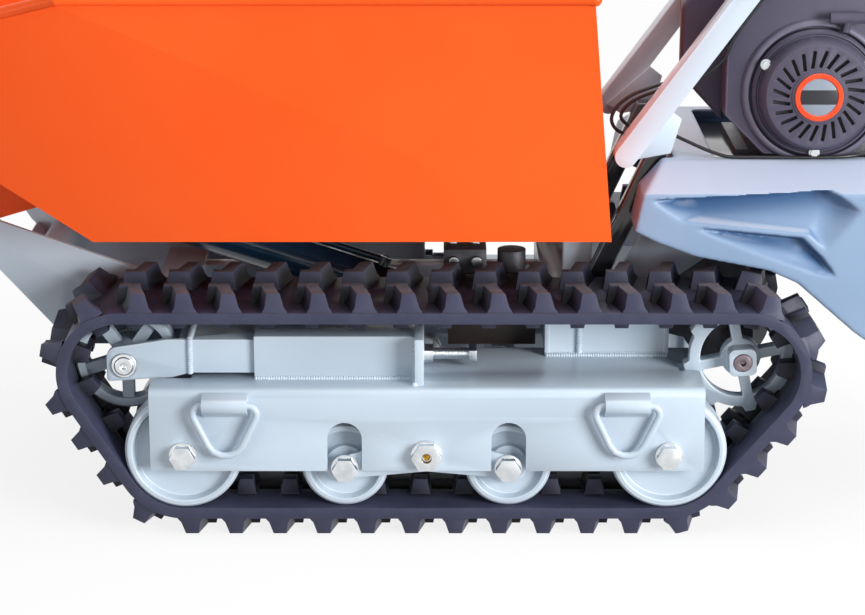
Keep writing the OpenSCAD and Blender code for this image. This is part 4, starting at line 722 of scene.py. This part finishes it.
# ribs moulded round the grips; the first one and the grip's axis lie so far in from the grip's box
ribs = {"count": 9, "spacing": 10.5, "radius": 18.1, "rib": 1.5, "first": 16, "axis": 23}
ribTree, ribKeys, given = newTree("gripRibs", {"Count": "Int", "Spacing": "Vector", "Start": "Vector",
                                               "Radius": "Float", "Rib": "Float"})
row = addNode(ribTree, "GeometryNodeMeshLine", {"Count": given["Count"], "Start Location": given["Start"],
                                                "Offset": given["Spacing"]})
hoop = addNode(ribTree, "GeometryNodeCurvePrimitiveCircle", {"Resolution": 40, "Radius": given["Radius"]})
section = addNode(ribTree, "GeometryNodeCurvePrimitiveCircle", {"Resolution": 8, "Radius": given["Rib"]})
ring = addNode(ribTree, "GeometryNodeCurveToMesh", {"Curve": hoop.outputs[0],
                                                    "Profile Curve": section.outputs[0]})
rings = addNode(ribTree, "GeometryNodeInstanceOnPoints", {"Points": row.outputs[0],
                                                         "Instance": ring.outputs[0],
                                                         "Rotation": (0, math.pi / 2, 0)})
endTree(ribTree, rings.outputs[0], "soft grip rubber")
gripLow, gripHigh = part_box("grips")
for side, out in sides.items():
    start = (gripLow[0] + ribs["first"] * mm, out * (gripHigh[1] - ribs["axis"] * mm),
             (gripLow[2] + gripHigh[2]) / 2)
    sizes = {"Count": ribs["count"], "Spacing": (ribs["spacing"] * mm, 0, 0), "Start": start,
             "Radius": ribs["radius"] * mm, "Rib": ribs["rib"] * mm}
    addPiece(f"grip_ribs_{side}", grow(ribTree, ribKeys, sizes, [(0, 0, 0)], []), "chassis")
print("stage: grip ribs")


# a profile of radius and height, turned round its axis
def turned(outline, centre, axis, steps=64, smooth=35):
    shape = bmesh.new()
    points = [shape.verts.new((r * mm, 0, h * mm)) for r, h in outline]
    edges = [shape.edges.new((a, b)) for a, b in zip(points, points[1:])]
    bmesh.ops.spin(shape, geom=points + edges, cent=(0, 0, 0), axis=(0, 0, 1), angle=2 * math.pi,
                   steps=steps, use_duplicate=False)
    bmesh.ops.remove_doubles(shape, verts=shape.verts, dist=tiny)
    bmesh.ops.recalc_face_normals(shape, faces=shape.faces)
    turn = Vector((0, 0, 1)).rotation_difference(Vector(axis)).to_matrix().to_4x4()
    shape.transform(Matrix.Translation(Vector(centre) * mm) @ turn)
    mesh = bpy.data.meshes.new("turned")
    shape.to_mesh(mesh)
    shape.free()
    smoothBelow(mesh, smooth)
    return mesh


# trim of the recoil cover: orange ring and blank badge on its hub, raised ridges nearer its edge and the lip
# of the fan housing round it; each ridge has its radius and height, and all of them one profile
recoil = {"ring": [(26, -1), (26, 1.6), (27, 2.4), (32, 2.4), (33, 1.6), (33, -1)],
          "badge": [(0, 1.1), (24.5, 1.1), (26, 0.6), (26, -1), (0, -1)],
          "ridges": [(80.5, 15), (84.0, 15.5)],
          "ridge": [(-1.4, -2), (-1.1, 1.2), (0, 1.8), (1.1, 1.2), (1.4, -2)],
          "lip": [(91.2, -1), (91.2, 5.5), (92.2, 7.4), (94, 8), (97.5, 7), (100.5, 3.4), (101.6, -1)],
          "steps": 96}
recoilLow, recoilHigh = boxMm("recoil_cover")
crankX, crankZ = (recoilLow[0] + recoilHigh[0]) / 2, (recoilLow[2] + recoilHigh[2]) / 2
hubFace, coverFoot = (crankX, recoilLow[1], crankZ), (crankX, recoilHigh[1], crankZ)
outward = (0, -1, 0)
addPiece("recoil_ring", turned(recoil["ring"], hubFace, outward), "chassis",
         ["orange printed ring"])
addPiece("recoil_badge", turned(recoil["badge"], hubFace, outward), "chassis",
         ["blank badge"])
for index, (radius, height) in enumerate(recoil["ridges"]):
    outline = [(radius + r, height + h) for r, h in recoil["ridge"]]
    addPiece(f"recoil_ridge_{index}", turned(outline, coverFoot, outward, recoil["steps"]), "chassis",
             ["grained nylon"])
addPiece("housing_lip", turned(recoil["lip"], coverFoot, outward, recoil["steps"]), "chassis",
         ["paler nylon for edges and lip"])

# wing of the fan shroud beside the leaning cylinder: a rounded dark cover
wing = {"outline": [(408, 526), (367, 570), (346, 596), (346, 690), (366, 716), (408, 716)], "near": -100,
        "far": -68, "round": 6, "segments": 3, "smooth": 40}
shape = bmesh.new()
rim = [shape.verts.new((x * mm, wing["near"] * mm, z * mm)) for x, z in wing["outline"]]
drawn = bmesh.ops.extrude_face_region(shape, geom=[shape.faces.new(rim)])["geom"]
back = [v for v in drawn if isinstance(v, bmesh.types.BMVert)]
bmesh.ops.translate(shape, vec=(0, (wing["far"] - wing["near"]) * mm, 0), verts=back)
bmesh.ops.recalc_face_normals(shape, faces=shape.faces)
bmesh.ops.bevel(shape, geom=shape.edges[:], offset=wing["round"] * mm, segments=wing["segments"], profile=0.5,
                affect="EDGES", clamp_overlap=True)
wingMesh = bpy.data.meshes.new("shroudWing")
shape.to_mesh(wingMesh)
shape.free()
smoothBelow(wingMesh, wing["smooth"])
addPiece("shroud_wing", wingMesh, "chassis", ["grained nylon"])

# flange bolts in the three lugs of the recoil cover
boltSizes = {"head": 5.6, "tall": 5.0, "flange": 7.6, "thin": 1.6, "ring": 82, "stand": 18,
             "angles": (90, 210, 330), "smooth": 30}
boltTree, boltKeys, given = newTree("flangeBolts", {"Head radius": "Float", "Head height": "Float",
                                                    "Flange radius": "Float", "Flange height": "Float"})
head = addNode(boltTree, "GeometryNodeMeshCylinder", {"Vertices": 6, "Radius": given["Head radius"],
                                                      "Depth": given["Head height"]})
collar = addNode(boltTree, "GeometryNodeMeshCylinder", {"Vertices": 28, "Radius": given["Flange radius"],
                                                        "Depth": given["Flange height"]})
raised = addNode(boltTree, "GeometryNodeTransform", {"Geometry": head.outputs["Mesh"],
                                                     "Translation": (0, 0, boltSizes["tall"] / 2 * mm)})
whole = addNode(boltTree, "GeometryNodeJoinGeometry")
boltTree.links.new(raised.outputs[0], whole.inputs[0])
boltTree.links.new(collar.outputs["Mesh"], whole.inputs[0])
laid = addNode(boltTree, "GeometryNodeInstanceOnPoints", {"Points": given["Geometry"],
                                                         "Instance": whole.outputs[0],
                                                         "Rotation": (math.pi / 2, 0, 0)})
endTree(boltTree, laid.outputs[0], zinc)
sizes = {"Head radius": boltSizes["head"] * mm, "Head height": boltSizes["tall"] * mm,
         "Flange radius": boltSizes["flange"] * mm, "Flange height": boltSizes["thin"] * mm}
spots = [(crankX + boltSizes["ring"] * math.cos(math.radians(a)), recoilHigh[1] - boltSizes["stand"],
          crankZ - boltSizes["ring"] * math.sin(math.radians(a))) for a in boltSizes["angles"]]
grown = grow(boltTree, boltKeys, sizes, [tuple(c * mm for c in spot) for spot in spots], [])
grown.set_sharp_from_angle(angle=math.radians(boltSizes["smooth"]))
addPiece("recoil_bolts", grown, "chassis")
print("stage: recoil trim, shroud wing and bolts")

# grease nipples in the hollow heads of the bogie pivots; floor is the hollow's, from the machine's middle
nipple = {"outline": [(0, 0), (4.6, 0), (4.6, 3), (3.0, 4), (3.0, 6), (2.0, 7), (2.6, 8), (2.0, 9.5),
                      (0, 9.5)],
          "x": -8, "floor": 357, "z": 121, "steps": 24}
for side, out in sides.items():
    place = (nipple["x"], out * nipple["floor"], nipple["z"])
    addPiece(f"grease_nipple_{side}", turned(nipple["outline"], place, (0, out, 0), nipple["steps"]),
             "chassis", ["brass"])
print("stage: grease nipples")

print("stage: box")
